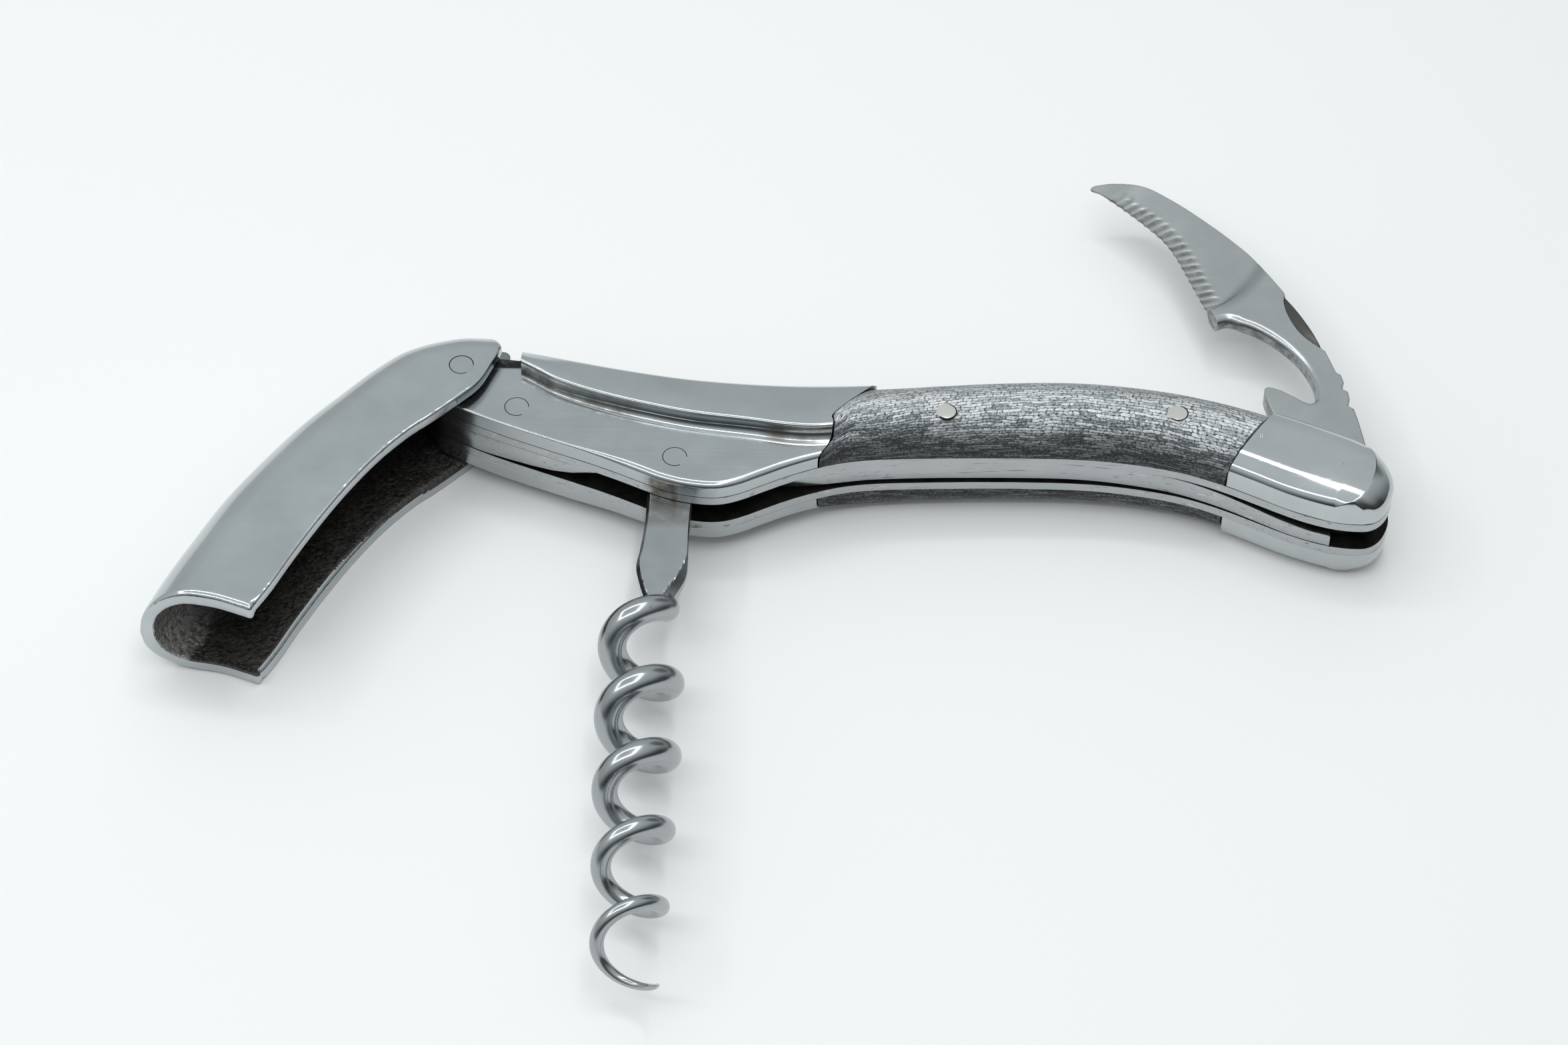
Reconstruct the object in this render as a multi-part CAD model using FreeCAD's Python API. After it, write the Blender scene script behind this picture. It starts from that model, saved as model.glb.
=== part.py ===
"""Lever corkscrew (waiter's knife): boot lever, worm, curved serrated blade
with a cap lifter, and a two-sided handle of liners, bolsters and scales round
one long back spring.

Working plane: X runs along the handle to its tail, Y is the back side of the
handle, Z is its thickness.  z = 0 is the mid-plane while the pieces are made;
the finished set is moved so its box stands on z = 0 and is centred in X and Y.
Millimetres."""
import FreeCAD, Part
import math
import os

V = FreeCAD.Vector

# ---- driving dimensions ---------------------------------------------------
SLOT = 3.2            # gap between the liners
LINER_T = 1.2         # liner thickness
RECESS_Z = 5.0        # face of the recessed head bolster, from the mid-plane
CREST_Z = 7.1         # crest of ledge, scales and tail bolster
TAIL_FILLET = 2.3     # rounding round the tail bolster
PIN_D = 3.0           # the four structural pins
RIVET_D = 2.2         # scale rivets
RUN = 0.05            # radial running clearance on a turning bore
BLADE_T = 2.4         # blade at the spine
BLADE_EDGE = 0.5      # blade at the cutting edge
LEVER_W = 14.4        # lever over its flanges
FLANGE_T = 1.95       # lever flange thickness
WEB_T = 2.0           # lever web thickness
LEVER_R = 4.6         # rounding of the lever's back
LEVER_CLOSE = 107.0   # lever turn from open to folded
LEDGE_GAP = 0.35      # folded lever to ledge
WORM_R = 3.5          # worm centre-line radius
WORM_PITCH = 10.62
WIRE_R = 1.7          # wire radius of the first turns
WORM_X = -16.35       # worm axis
NECK_R = 4.4          # round end of the neck, about the lever pin

P_LEVER = (-39.55, 17.99)
P_HEAD = (-32.65, 13.30)
P_WORM = (-13.28, 5.78)
P_BLADE = (67.00, 5.20)
RIVETS = ((19.33, 12.10), (47.26, 12.60))

ZI = SLOT / 2.0
ZO = ZI + LINER_T

# ---- outline data ---------------------------------------------------------
BELLY = [(-41.68, 14.14), (-39.16, 12.75), (-36.08, 11.25), (-32.92, 9.90),
         (-29.78, 8.66), (-26.66, 7.45), (-23.87, 6.37), (-20.80, 5.08),
         (-17.20, 3.41), (-15.12, 2.45), (-13.08, 1.77), (-11.02, 1.35),
         (-9.30, 1.18), (-7.60, 1.28), (-5.40, 1.98), (-2.61, 3.38),
         (0.41, 4.89), (3.50, 6.15), (6.50, 7.10), (10.00, 7.72),
         (15.00, 8.10), (20.60, 8.36), (30.80, 8.58), (37.80, 8.38),
         (43.80, 7.60), (48.00, 6.66), (52.45, 5.02), (55.90, 3.40),
         (60.32, 1.22), (64.78, -0.42), (67.05, -0.86), (69.10, -0.95)]
TAIL = [(69.10, -0.95), (70.60, -0.55), (71.70, 0.45), (72.50, 1.95),
        (72.95, 3.70), (72.75, 5.60), (71.85, 7.45), (70.40, 9.05),
        (68.60, 10.30)]
BACK = [(68.60, 10.30), (65.60, 11.75), (62.40, 13.20), (59.00, 14.62),
        (56.70, 15.50), (53.50, 16.60), (50.30, 17.50), (47.00, 18.28),
        (42.00, 19.05), (37.00, 19.50), (33.00, 19.60), (27.00, 19.35),
        (20.00, 18.80), (13.00, 18.20), (6.50, 17.85), (0.00, 17.72),
        (-6.50, 17.95), (-13.00, 18.55), (-19.50, 19.60), (-26.00, 20.85),
        (-29.50, 21.50), (-32.20, 21.90)]
NECK_TOP = [(-32.20, 21.90), (-34.50, 22.20), (-37.00, 22.39),
            (-39.55, 22.39)]

# lever, open position: edge of the flanges from beside the pin to the claw
FLANGE = [(-34.85, 21.20), (-35.15, 20.30), (-35.98, 18.22), (-36.85, 16.12),
          (-37.75, 14.70), (-39.14, 13.20), (-41.21, 11.08), (-42.94, 9.38),
          (-45.18, 7.30), (-48.45, 3.39), (-51.63, -1.44), (-54.50, -6.60),
          (-57.40, -12.45), (-59.55, -17.20), (-61.10, -20.10)]
LEVER_END = [(-61.10, -20.10), (-61.62, -20.95), (-62.70, -20.62),
             (-66.20, -19.45), (-70.60, -18.85), (-75.20, -18.95)]
LEVER_BACK = [(-75.20, -18.95), (-74.10, -16.00), (-72.95, -13.20),
              (-71.70, -10.40), (-70.42, -7.70), (-69.15, -5.05),
              (-67.85, -2.45), (-66.50, -0.10), (-65.18, 1.98),
              (-63.80, 4.05), (-62.40, 6.05), (-61.00, 8.00),
              (-59.60, 9.85), (-58.15, 11.60), (-56.70, 13.25),
              (-55.22, 14.85), (-53.72, 16.50), (-52.25, 18.10),
              (-50.75, 19.60), (-49.25, 20.98), (-47.72, 22.20),
              (-46.05, 23.15), (-44.38, 23.85), (-42.72, 24.38),
              (-41.08, 24.80), (-39.40, 25.05), (-37.90, 25.05),
              (-36.60, 24.45), (-35.60, 23.10), (-34.95, 21.75),
              (-34.85, 21.20)]

# blade, half-open position
SPINE = [(38.40, 57.20), (38.75, 57.55), (39.80, 57.85), (41.24, 57.96),
         (43.35, 57.70), (45.72, 56.96), (48.04, 55.40), (50.64, 53.20),
         (53.50, 50.40), (55.76, 47.95), (57.99, 45.20), (60.16, 41.90),
         (62.05, 38.70), (63.92, 35.20), (65.46, 31.90), (66.69, 28.60),
         (67.75, 25.30)]
JIMP = [(67.75, 25.30), (68.35, 24.85), (68.60, 23.60), (68.30, 22.60),
        (69.02, 22.10), (69.15, 20.80), (68.85, 19.80), (69.60, 19.20),
        (69.95, 17.50), (70.30, 15.40), (70.65, 13.00), (70.95, 10.60)]
CUTTING = [(53.58, 33.40), (52.39, 36.00), (51.32, 38.60), (50.27, 41.55),
           (48.95, 45.10), (47.44, 48.10), (45.59, 50.40), (43.58, 52.60),
           (41.26, 54.95), (39.70, 56.40), (38.65, 56.90), (38.40, 57.20)]
LIFTER = [(59.55, 18.40), (59.10, 19.80), (58.72, 21.60), (58.75, 22.25),
          (59.20, 22.60), (60.55, 22.20), (61.95, 21.35), (63.30, 20.55),
          (64.30, 20.35), (64.98, 20.75), (65.05, 22.40), (64.75, 24.10),
          (63.75, 26.60), (62.20, 28.95), (60.30, 30.95), (58.20, 32.55),
          (56.20, 33.45), (54.80, 33.85), (53.58, 33.40)]


# ---- helpers --------------------------------------------------------------
def spline(pts, z=0.0):
    c = Part.BSplineCurve()
    c.interpolate([V(p[0], p[1], z) for p in pts])
    return c.toShape()


def poly_edges(pts, z=0.0):
    return [Part.LineSegment(V(a[0], a[1], z), V(b[0], b[1], z)).toShape()
            for a, b in zip(pts[:-1], pts[1:])]


def slab(edges, z0, z1):
    """Solid between two heights over a closed chain of edges drawn on z=0."""
    face = Part.Face(Part.Wire(Part.__sortEdges__(edges)))
    face.translate(V(0, 0, z0))
    return face.extrude(V(0, 0, z1 - z0))


def cyl(p, d, z0, z1):
    return Part.makeCylinder(d / 2.0, z1 - z0, V(p[0], p[1], z0))


def interp(table, x):
    if x <= table[0][0]:
        return table[0][1]
    n = len(table)
    for i in range(n - 1):
        (xa, ya), (xb, yb) = table[i], table[i + 1]
        if x <= xb:
            x0, y0 = table[max(0, i - 1)]
            x3, y3 = table[min(n - 1, i + 2)]
            w = xb - xa
            ma = (yb - y0) / (xb - x0) * w
            mb = (y3 - ya) / (x3 - xa) * w
            t = (x - xa) / w
            return ((2 * t ** 3 - 3 * t ** 2 + 1) * ya +
                    (t ** 3 - 2 * t ** 2 + t) * ma +
                    (3 * t ** 2 - 2 * t ** 3) * yb + (t ** 3 - t ** 2) * mb)
    return table[-1][1]


def turn(p, c, deg):
    a = math.radians(deg)
    x, y = p[0] - c[0], p[1] - c[1]
    return (c[0] + x * math.cos(a) - y * math.sin(a),
            c[1] + x * math.sin(a) + y * math.cos(a))


def mirror(s):
    return s.mirror(V(0, 0, 0), V(0, 0, 1))


def one(s):
    """The largest solid of a result, cleaned."""
    best = sorted(s.Solids, key=lambda q: q.Volume)[-1]
    try:
        r = best.removeSplitter()
        if r.isValid() and r.Solids:
            return r.Solids[0]
    except Exception:
        pass
    return best


def fillet_near(s, r, test):
    """Round the edges that pass the test; the shape is kept if that fails."""
    es = [e for e in s.Edges if test(e)]
    if not es:
        return s
    try:
        f = s.makeFillet(r, es)
        if f.isValid() and f.Volume > 0:
            return f
    except Exception:
        pass
    return s


def mid(e):
    return e.valueAt((e.FirstParameter + e.LastParameter) / 2.0)


# ---- handle outline -------------------------------------------------------
def neck_arc():
    c = V(P_LEVER[0], P_LEVER[1], 0)
    return Part.Arc(V(-39.55, 22.39, 0), c + V(-NECK_R, 0, 0),
                    V(BELLY[0][0], BELLY[0][1], 0)).toShape()


def body_edges():
    return [spline(BELLY), spline(TAIL), spline(BACK), spline(NECK_TOP),
            neck_arc()]


JOINT_HEAD = [(12.50, 20.60), (10.90, 18.00), (9.00, 15.60), (7.00, 13.30),
              (5.55, 11.20)]
JOINT_HEAD_LOW = [(5.55, 11.20), (5.70, 10.20), (5.30, 8.70), (4.30, 7.00),
                  (3.10, 4.90), (1.60, 2.00)]
JOINT_TAIL = ((60.80, 16.40), (51.00, 1.80))


def head_region(z0, z1):
    e = [spline(JOINT_HEAD), spline(JOINT_HEAD_LOW)]
    e += poly_edges([JOINT_HEAD_LOW[-1], (1.6, -10), (-60, -10), (-60, 40),
                     (12.5, 40), JOINT_HEAD[0]])
    return slab(e, z0, z1)


def tail_region(z0, z1):
    e = poly_edges([JOINT_TAIL[0], JOINT_TAIL[1], (51, -10), (90, -10),
                    (90, 40), (60.8, 40), JOINT_TAIL[0]])
    return slab(e, z0, z1)


# crest line of the domed upper half, from the ledge to the tail
LEDGE = [turn(p, P_LEVER, LEVER_CLOSE) for p in FLANGE]
LEDGE = [(p[0] + 0.25 * LEDGE_GAP, p[1] + LEDGE_GAP) for p in LEDGE
         if p[0] > -33.5 and p[0] < 1.2]
CREST = [(-34.5, 20.05)] + LEDGE + [
    (4.0, 9.40), (8.0, 10.05), (13.0, 11.30), (19.0, 12.60), (25.0, 13.40),
    (31.0, 13.80), (37.0, 13.75), (43.0, 13.10), (49.0, 11.90),
    (55.0, 10.10), (61.0, 7.70), (68.0, 4.80)]
BELLY_T = [(p[0], p[1]) for p in BELLY]
BACK_T = sorted([(p[0], p[1]) for p in BACK])


def dome(xs, low, power):
    """Loft of half-oval sections: from the crest to the back edge, and on the
    belly side either down to the belly edge or straight down at the crest."""
    wires = []
    n = 9
    for x in xs:
        yb = interp(BELLY_T, x) - 0.02
        yt = interp(BACK_T, x) + 0.02
        yc = interp(CREST, x)
        h = CREST_Z - ZO
        pts = []
        if low:
            for i in range(n):
                a = math.pi / 2.0 * i / (n - 1)
                u = -math.cos(a) ** (2.0 / power)
                w = math.sin(a) ** (2.0 / power)
                pts.append(V(x, yc + (yc - yb) * u, ZO + h * w))
        else:
            pts.append(V(x, yc, CREST_Z))
        for i in range(1, n):
            a = math.pi / 2.0 * (1 - i / (n - 1.0))
            u = math.cos(a) ** (2.0 / power)
            w = math.sin(a) ** (2.0 / power)
            pts.append(V(x, yc + (yt - yc) * u, ZO + h * w))
        c = Part.BSplineCurve()
        c.interpolate(pts)
        edges = [c.toShape()]
        if low:
            edges.append(Part.LineSegment(pts[-1], pts[0]).toShape())
        else:
            foot = V(x, yc, ZO)
            edges.append(Part.LineSegment(pts[-1], foot).toShape())
            edges.append(Part.LineSegment(foot, pts[0]).toShape())
        wires.append(Part.Wire(edges))
    return Part.makeLoft(wires, True, False)


# ---- liners ---------------------------------------------------------------
def make_liner():
    s = slab(body_edges(), ZI, ZO)
    s = s.cut(cyl(P_LEVER, PIN_D + 2 * RUN, 0, 9))
    for p in (P_HEAD, P_WORM, P_BLADE):
        s = s.cut(cyl(p, PIN_D, 0, 9))
    for p in RIVETS:
        s = s.cut(cyl(p, RIVET_D, 0, 9))
    return one(s)


# ---- head bolster ---------------------------------------------------------
def make_head_bolster():
    base = slab(body_edges(), ZO, RECESS_Z)
    base = fillet_near(base, 0.9, lambda e: e.Length > 60 and
                       mid(e).z > RECESS_Z - 0.01 and mid(e).y < 9)
    base = base.common(head_region(0, 9))
    back = dome([-33.4, -30, -26, -21, -15, -9, -3, 3, 8, 13], False, 2.5)
    keep = slab(poly_edges([(-32.3, -10), (20, -10), (20, 40), (-33.0, 40),
                            (-32.3, -10)]), 0, 9)
    back = back.common(head_region(0, 9)).common(keep)
    low = slab(body_edges(), 0, 9)
    back = back.common(low)
    s = base.fuse(back)
    s = s.cut(cyl(P_LEVER, PIN_D + 2 * RUN, 0, 9))
    for p in (P_HEAD, P_WORM):
        s = s.cut(cyl(p, PIN_D, 0, 9))
    return one(s)


# ---- scales ---------------------------------------------------------------
def make_scale():
    d = dome([1, 5, 10, 16, 23, 31, 38, 44, 49, 54, 60, 64], True, 2.3)
    s = d.common(slab(body_edges(), ZO, 9))
    s = s.cut(head_region(0, 9)).cut(tail_region(0, 9))
    # the recess of the head runs out into the scale
    ramp = Part.Face(Part.Wire([
        Part.LineSegment(V(0, -10, RECESS_Z), V(17, -10, CREST_Z)).toShape(),
        Part.LineSegment(V(17, -10, CREST_Z), V(0, -10, 9)).toShape(),
        Part.LineSegment(V(0, -10, 9), V(0, -10, RECESS_Z)).toShape()]))
    ramp = ramp.extrude(V(0, 19.6, 0))
    s = s.cut(ramp)
    for p in RIVETS:
        s = s.cut(cyl(p, RIVET_D, 0, 9))
    return one(s)


# ---- tail bolster ---------------------------------------------------------
def make_tail_bolster():
    s = slab(body_edges(), ZO, CREST_Z)
    s = fillet_near(s, TAIL_FILLET, lambda e: mid(e).z > CREST_Z - 0.01 and
                    (mid(e).x > 30 or e.Length > 60))
    s = s.common(tail_region(0, 9))
    s = s.cut(cyl(P_BLADE, PIN_D, 0, 5.0))
    return one(s)


# ---- main spring ----------------------------------------------------------
def make_spring():
    z0, z1 = -ZI, ZI
    low = [(-23.87, 6.37), (-22.70, 7.30), (-20.50, 8.85), (-17.50, 9.70),
           (-14.00, 9.75), (-10.50, 9.20), (-7.00, 8.00), (-3.50, 6.85),
           (0.00, 6.45), (3.50, 6.70), (6.50, 7.18), (10.00, 7.74),
           (15.00, 8.12), (20.60, 8.38), (30.80, 8.60), (37.80, 8.40),
           (43.80, 7.62), (48.00, 6.68), (52.45, 5.04), (55.90, 3.42),
           (60.32, 1.24), (63.00, 0.15), (65.50, -0.60)]
    top = [(65.50, -0.60), (65.62, 0.70), (64.60, 1.25), (61.60, 2.60),
           (58.00, 4.60), (54.50, 6.40), (50.50, 8.05), (46.00, 9.50),
           (40.00, 10.80), (32.00, 11.40), (22.00, 11.30), (12.00, 10.90),
           (3.00, 10.70), (-4.00, 11.20), (-10.00, 12.30), (-15.00, 13.60),
           (-18.50, 15.30), (-21.00, 17.60), (-22.50, 19.40),
           (-23.30, 20.33)]
    strip = slab([spline(low)] + [spline(top[:3])] + [spline(top[2:])] +
                 poly_edges([top[-1], (-24.5, 20.4), (-24.5, 6.55),
                             low[0]]), z0, z1)
    block = slab(body_edges(), -ZI, ZI)
    cutb = slab(poly_edges([(-24.2, -10), (90, -10), (90, 40), (-24.2, 40),
                            (-24.2, -10)]), -9, 9)
    block = block.cut(cutb)
    nose = slab([spline([(-36.30, 22.10), (-35.95, 22.70), (-35.92, 23.50),
                         (-36.08, 24.30), (-35.85, 25.05), (-35.25, 25.45),
                         (-34.60, 25.35), (-34.15, 24.80), (-34.15, 24.05),
                         (-34.00, 23.10), (-33.40, 22.00)])] +
                poly_edges([(-33.40, 22.00), (-33.4, 21), (-36.3, 21),
                            (-36.30, 22.10)]), -ZI, ZI)
    nose = fillet_near(nose, 0.7, lambda e: e.Length > 6 and
                       abs(abs(mid(e).z) - ZI) < 0.01)
    # seen from the belly the spring lies near one liner and swings over to
    # the other at its free end
    plan = [(-50, ZI), (-37.5, ZI), (-33.5, ZI - 0.32), (-28.5, ZI - 0.30),
            (-24.0, ZI), (44.0, ZI), (54.0, ZI - 0.22), (62.0, ZI - 0.70),
            (70.0, ZI - 0.85)]
    under = [(70.0, -ZI), (60.0, -ZI), (48.0, -ZI + 0.35),
             (34.0, -ZI + 0.70), (-20.0, -ZI + 0.70), (-25.0, -ZI + 0.28),
             (-36.0, -ZI + 0.22), (-38.5, -ZI), (-50, -ZI)]
    ring = [V(x, -20, z) for x, z in plan + under]
    plate = Part.Face(Part.makePolygon(ring + [ring[0]]))
    plate = plate.extrude(V(0, 60, 0))
    s = block.fuse(strip).common(plate).fuse(nose)
    s = s.cut(cyl(P_LEVER, PIN_D + 2 * RUN, -9, 9))
    s = s.cut(cyl(P_HEAD, PIN_D, -9, 9))
    return one(s)


# ---- lever ----------------------------------------------------------------
def make_lever():
    h = LEVER_W / 2.0
    edges = [spline(FLANGE), spline(LEVER_END), spline(LEVER_BACK)]
    s = slab(edges, -h, h)
    # round the back: a cutter swept along each back edge
    st = [(p[0], p[1]) for p in LEVER_BACK if p[0] <= -39.4]
    tx, ty = st[0][0] - st[1][0], st[0][1] - st[1][1]
    st = [(st[0][0] + 1.3 * tx, st[0][1] + 1.3 * ty)] + st
    st += [(-37.0, 25.12), (-33.5, 25.10)]
    wires = []
    for i, p in enumerate(st):
        a = st[max(0, i - 1)]
        b = st[min(len(st) - 1, i + 1)]
        tx, ty = b[0] - a[0], b[1] - a[1]
        m = math.hypot(tx, ty)
        nx, ny = -ty / m, tx / m
        arc = []
        for k in range(9):
            f = math.pi / 2.0 * k / 8.0
            r = LEVER_R + 0.02
            arc.append(V(p[0] + nx * (r * math.sin(f) - LEVER_R),
                         p[1] + ny * (r * math.sin(f) - LEVER_R),
                         h - LEVER_R + r * math.cos(f)))
        c = Part.BSplineCurve()
        c.interpolate(arc)
        lowo = V(p[0] + nx * 1.2, p[1] + ny * 1.2, arc[-1].z)
        topo = V(lowo.x, lowo.y, h + 1.2)
        topi = V(arc[0].x, arc[0].y, h + 1.2)
        wires.append(Part.Wire([c.toShape(),
                                Part.LineSegment(arc[-1], lowo).toShape(),
                                Part.LineSegment(lowo, topo).toShape(),
                                Part.LineSegment(topo, topi).toShape(),
                                Part.LineSegment(topi, arc[0]).toShape()]))
    edge_cut = Part.makeLoft(wires, True, False)
    s = s.cut(edge_cut).cut(mirror(edge_cut))
    # channel: the back line moved in by the web, open to the flange edge
    inner = []
    n = len(LEVER_BACK)
    for i, p in enumerate(LEVER_BACK):
        if p[0] > -38.5:
            continue
        a = LEVER_BACK[max(0, i - 1)]
        b = LEVER_BACK[min(n - 1, i + 1)]
        tx, ty = b[0] - a[0], b[1] - a[1]
        m = math.hypot(tx, ty)
        inner.append((p[0] + ty / m * WEB_T, p[1] - tx / m * WEB_T))
    first = inner[0]
    second = inner[1]
    k = 6.0 / math.hypot(first[0] - second[0], first[1] - second[1])
    out = (first[0] + (first[0] - second[0]) * k,
           first[1] + (first[1] - second[1]) * k)
    chan = slab([spline([out] + inner)] +
                poly_edges([inner[-1], (-36.45, 23.05), (-36.45, 30),
                            (-20, 30), (-20, -40), (out[0], -40), out]),
                -h + FLANGE_T, h - FLANGE_T)
    # inside corners: round at the claw end, nearly square round the neck
    es = [e for e in chan.Edges if e.Length > 50 and mid(e).x < -48 and
          mid(e).y > -8]
    for e in es:
        try:
            first_low = e.Vertexes[0].Point.y < e.Vertexes[-1].Point.y
            ra, rb = (3.9, 0.8) if first_low else (0.8, 3.9)
            f = chan.makeFillet(ra, rb, [q for q in chan.Edges
                                         if q.Length > 50 and
                                         (q.CenterOfMass -
                                          e.CenterOfMass).Length < 0.05])
            if f.isValid() and f.Volume > 0:
                chan = f
        except Exception:
            pass
    s = s.cut(chan)
    s = s.cut(cyl(P_LEVER, PIN_D, -9, 9))
    return one(s)


# ---- worm -----------------------------------------------------------------
def make_worm():
    shank_l = [(-16.40, 5.78), (-16.50, 3.40), (-16.62, -1.30),
               (-17.05, -5.50), (-17.42, -8.20), (-17.00, -10.60),
               (-16.25, -13.20), (-15.60, -14.70), (-14.60, -15.20),
               (-13.60, -14.60), (-12.70, -12.20), (-11.65, -9.80),
               (-11.35, -7.80), (-11.30, -3.00), (-11.00, 3.00),
               (-10.16, 5.78)]
    top = Part.Arc(V(-10.16, 5.78, 0), V(-13.28, 8.90, 0),
                   V(-16.40, 5.78, 0)).toShape()
    shank = slab([spline(shank_l), top], -1.5, 1.5)
    shank = fillet_near(shank, 0.5, lambda e: e.Length > 20 and
                        abs(abs(mid(e).z) - 1.5) < 0.01)
    # wire: a short lead out of the shank, then the helix down to the point
    y_ref, a_ref = -19.65, 180.0
    path = [V(-14.40, -9.60, 0.0), V(-14.15, -11.60, 0.25),
            V(-13.75, -13.40, 0.9)]
    rads = [1.10, 1.25, 1.45]
    a = 38.0
    a_end = 1802.0
    while a <= a_end + 0.01:
        r = math.radians(a)
        y = y_ref - (a - a_ref) / 360.0 * WORM_PITCH
        path.append(V(WORM_X + WORM_R * math.cos(r), y,
                      WORM_R * math.sin(r)))
        t = (a - 700.0) / (a_end - 700.0)
        w = WIRE_R if t <= 0 else WIRE_R * (1 - 0.62 * t)
        if a > a_end - 230:
            q = (a_end - a) / 230.0
            w = min(w, 0.14 + (WIRE_R * 0.50) * q ** 0.8)
        if a < 120:
            w = 1.55 + 0.15 * (a - 38) / 82.0
        rads.append(w)
        a += 28.0
    # skin: one smooth surface through rings square to the wire, two end caps
    grid = []
    for i, p in enumerate(path):
        q0 = path[max(0, i - 1)]
        q1 = path[min(len(path) - 1, i + 1)]
        t = (q1 - q0).normalize()
        axis = V(p.x - WORM_X, 0, p.z)
        nrm = (axis - t * axis.dot(t)).normalize()
        bi = t.cross(nrm)
        k = 12
        ring = []
        for j in range(k + 1):
            f = 2 * math.pi * (j % k) / k
            ring.append(p + nrm * (rads[i] * math.cos(f)) +
                        bi * (rads[i] * math.sin(f)))
        grid.append(ring)
    bs = Part.BSplineSurface()
    bs.interpolate(grid)
    skin = bs.toShape()
    caps = []
    for e in skin.Edges:
        pa, pb = e.valueAt(e.FirstParameter), e.valueAt(e.LastParameter)
        if (pa - pb).Length < 1e-4 and e.Length < 20:
            caps.append(Part.Face(Part.Wire([e])))
    shell = Part.makeShell([skin] + caps)
    shell.sewShape()
    helix = Part.makeSolid(Part.Shell(shell.Faces))
    if helix.Volume < 0:
        helix.reverse()
    s = shank.fuse(helix)
    s = s.cut(cyl(P_WORM, PIN_D + 2 * RUN, -9, 9))
    return one(s)


# ---- blade ----------------------------------------------------------------
def serrate(pts, count, depth):
    """Points along a curve with small scallops cut into it."""
    c = Part.BSplineCurve()
    c.interpolate([V(p[0], p[1], 0) for p in pts])
    n = count * 6
    ps = c.toShape().discretize(n + 1)
    out = []
    for i, p in enumerate(ps):
        a = ps[max(0, i - 1)]
        b = ps[min(n, i + 1)]
        t = (b - a).normalize()
        inward = V(t.y, -t.x, 0)
        k = depth * abs(math.sin(math.pi * i / 6.0))
        out.append((p.x + inward.x * k, p.y + inward.y * k))
    return out


def make_blade():
    teeth = serrate(CUTTING, 17, 0.32)
    teeth[0], teeth[-1] = CUTTING[0], CUTTING[-1]
    r = 4.2
    tang = [(70.95, 10.60), (71.22, 6.30)]
    p0 = (P_BLADE[0] + r, P_BLADE[1])
    heel = (P_BLADE[0] - r, P_BLADE[1] + 0.6)
    arc = Part.Arc(V(p0[0], p0[1], 0), V(P_BLADE[0], P_BLADE[1] - r, 0),
                   V(P_BLADE[0] - r, P_BLADE[1], 0)).toShape()
    low = [(P_BLADE[0] - r, P_BLADE[1]), (62.45, 7.20), (61.60, 10.60),
           (60.60, 14.60), (59.55, 18.40)]
    edges = [spline(SPINE)] + poly_edges(JIMP[:9]) + [spline(JIMP[8:])]
    edges += poly_edges([JIMP[-1], p0]) + [arc, spline(low),
                                           spline(LIFTER[:4]),
                                           spline(LIFTER[3:10]),
                                           spline(LIFTER[9:])]
    edges += poly_edges(teeth)
    hb = BLADE_T / 2.0
    s = slab(edges, -hb, hb)
    # hollow the cutting side: wedge sections from the edge into the blade
    wires_n, wires_f = [], []
    c = Part.BSplineCurve()
    c.interpolate([V(p[0], p[1], 0) for p in CUTTING])
    ps = c.toShape().discretize(5)
    for i, p in enumerate(ps):
        a = ps[max(0, i - 1)]
        b = ps[min(len(ps) - 1, i + 1)]
        t = (b - a).normalize()
        inw = V(t.y, -t.x, 0)
        w = 4.6 * (1.0 - 0.42 * i / (len(ps) - 1.0))
        o = p - inw * 1.0
        q = p + inw * w
        ze = BLADE_EDGE / 2.0 - 0.2
        tri = [V(o.x, o.y, ze), V(q.x, q.y, hb + 0.02), V(q.x, q.y, 2.5),
               V(o.x, o.y, 2.5)]
        wires_n.append(Part.makePolygon(tri + [tri[0]]))
    wedge = Part.makeLoft(wires_n, True, True)
    try:
        t1 = s.cut(wedge).cut(mirror(wedge))
        if t1.isValid() and t1.Volume > 0.5 * s.Volume:
            s = t1
    except Exception:
        pass
    boss = cyl(P_BLADE, 7.6, -1.5, 1.5)
    s = s.fuse(boss)
    s = s.cut(cyl(P_BLADE, PIN_D + 2 * RUN, -9, 9))
    return one(s)


# ---- the set --------------------------------------------------------------
parts = {}
liner = make_liner()
parts["near_liner"] = liner
parts["far_liner"] = mirror(liner)
hb = make_head_bolster()
parts["near_head_bolster"] = hb
parts["far_head_bolster"] = mirror(hb)
sc = make_scale()
parts["near_scale"] = sc
parts["far_scale"] = mirror(sc)
tb = make_tail_bolster()
parts["near_tail_bolster"] = tb
parts["far_tail_bolster"] = mirror(tb)
parts["main_spring"] = make_spring()
parts["lever"] = make_lever()
parts["worm"] = make_worm()
parts["blade"] = make_blade()
parts["lever_pin"] = cyl(P_LEVER, PIN_D, -LEVER_W / 2.0 + 0.02,
                         LEVER_W / 2.0 - 0.02)
parts["head_pin"] = cyl(P_HEAD, PIN_D, -RECESS_Z, RECESS_Z)
parts["worm_pin"] = cyl(P_WORM, PIN_D, -RECESS_Z, RECESS_Z)
parts["blade_pin"] = cyl(P_BLADE, PIN_D, -5.0, 5.0)
for tag, p in (("head", RIVETS[0]), ("tail", RIVETS[1])):
    rv = cyl(p, RIVET_D, ZI, CREST_Z + 0.02)
    rv = fillet_near(rv, 0.25, lambda e: mid(e).z > CREST_Z and
                     e.Length > 3)
    parts["near_rivet_" + tag] = rv
    parts["far_rivet_" + tag] = mirror(rv)

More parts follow.
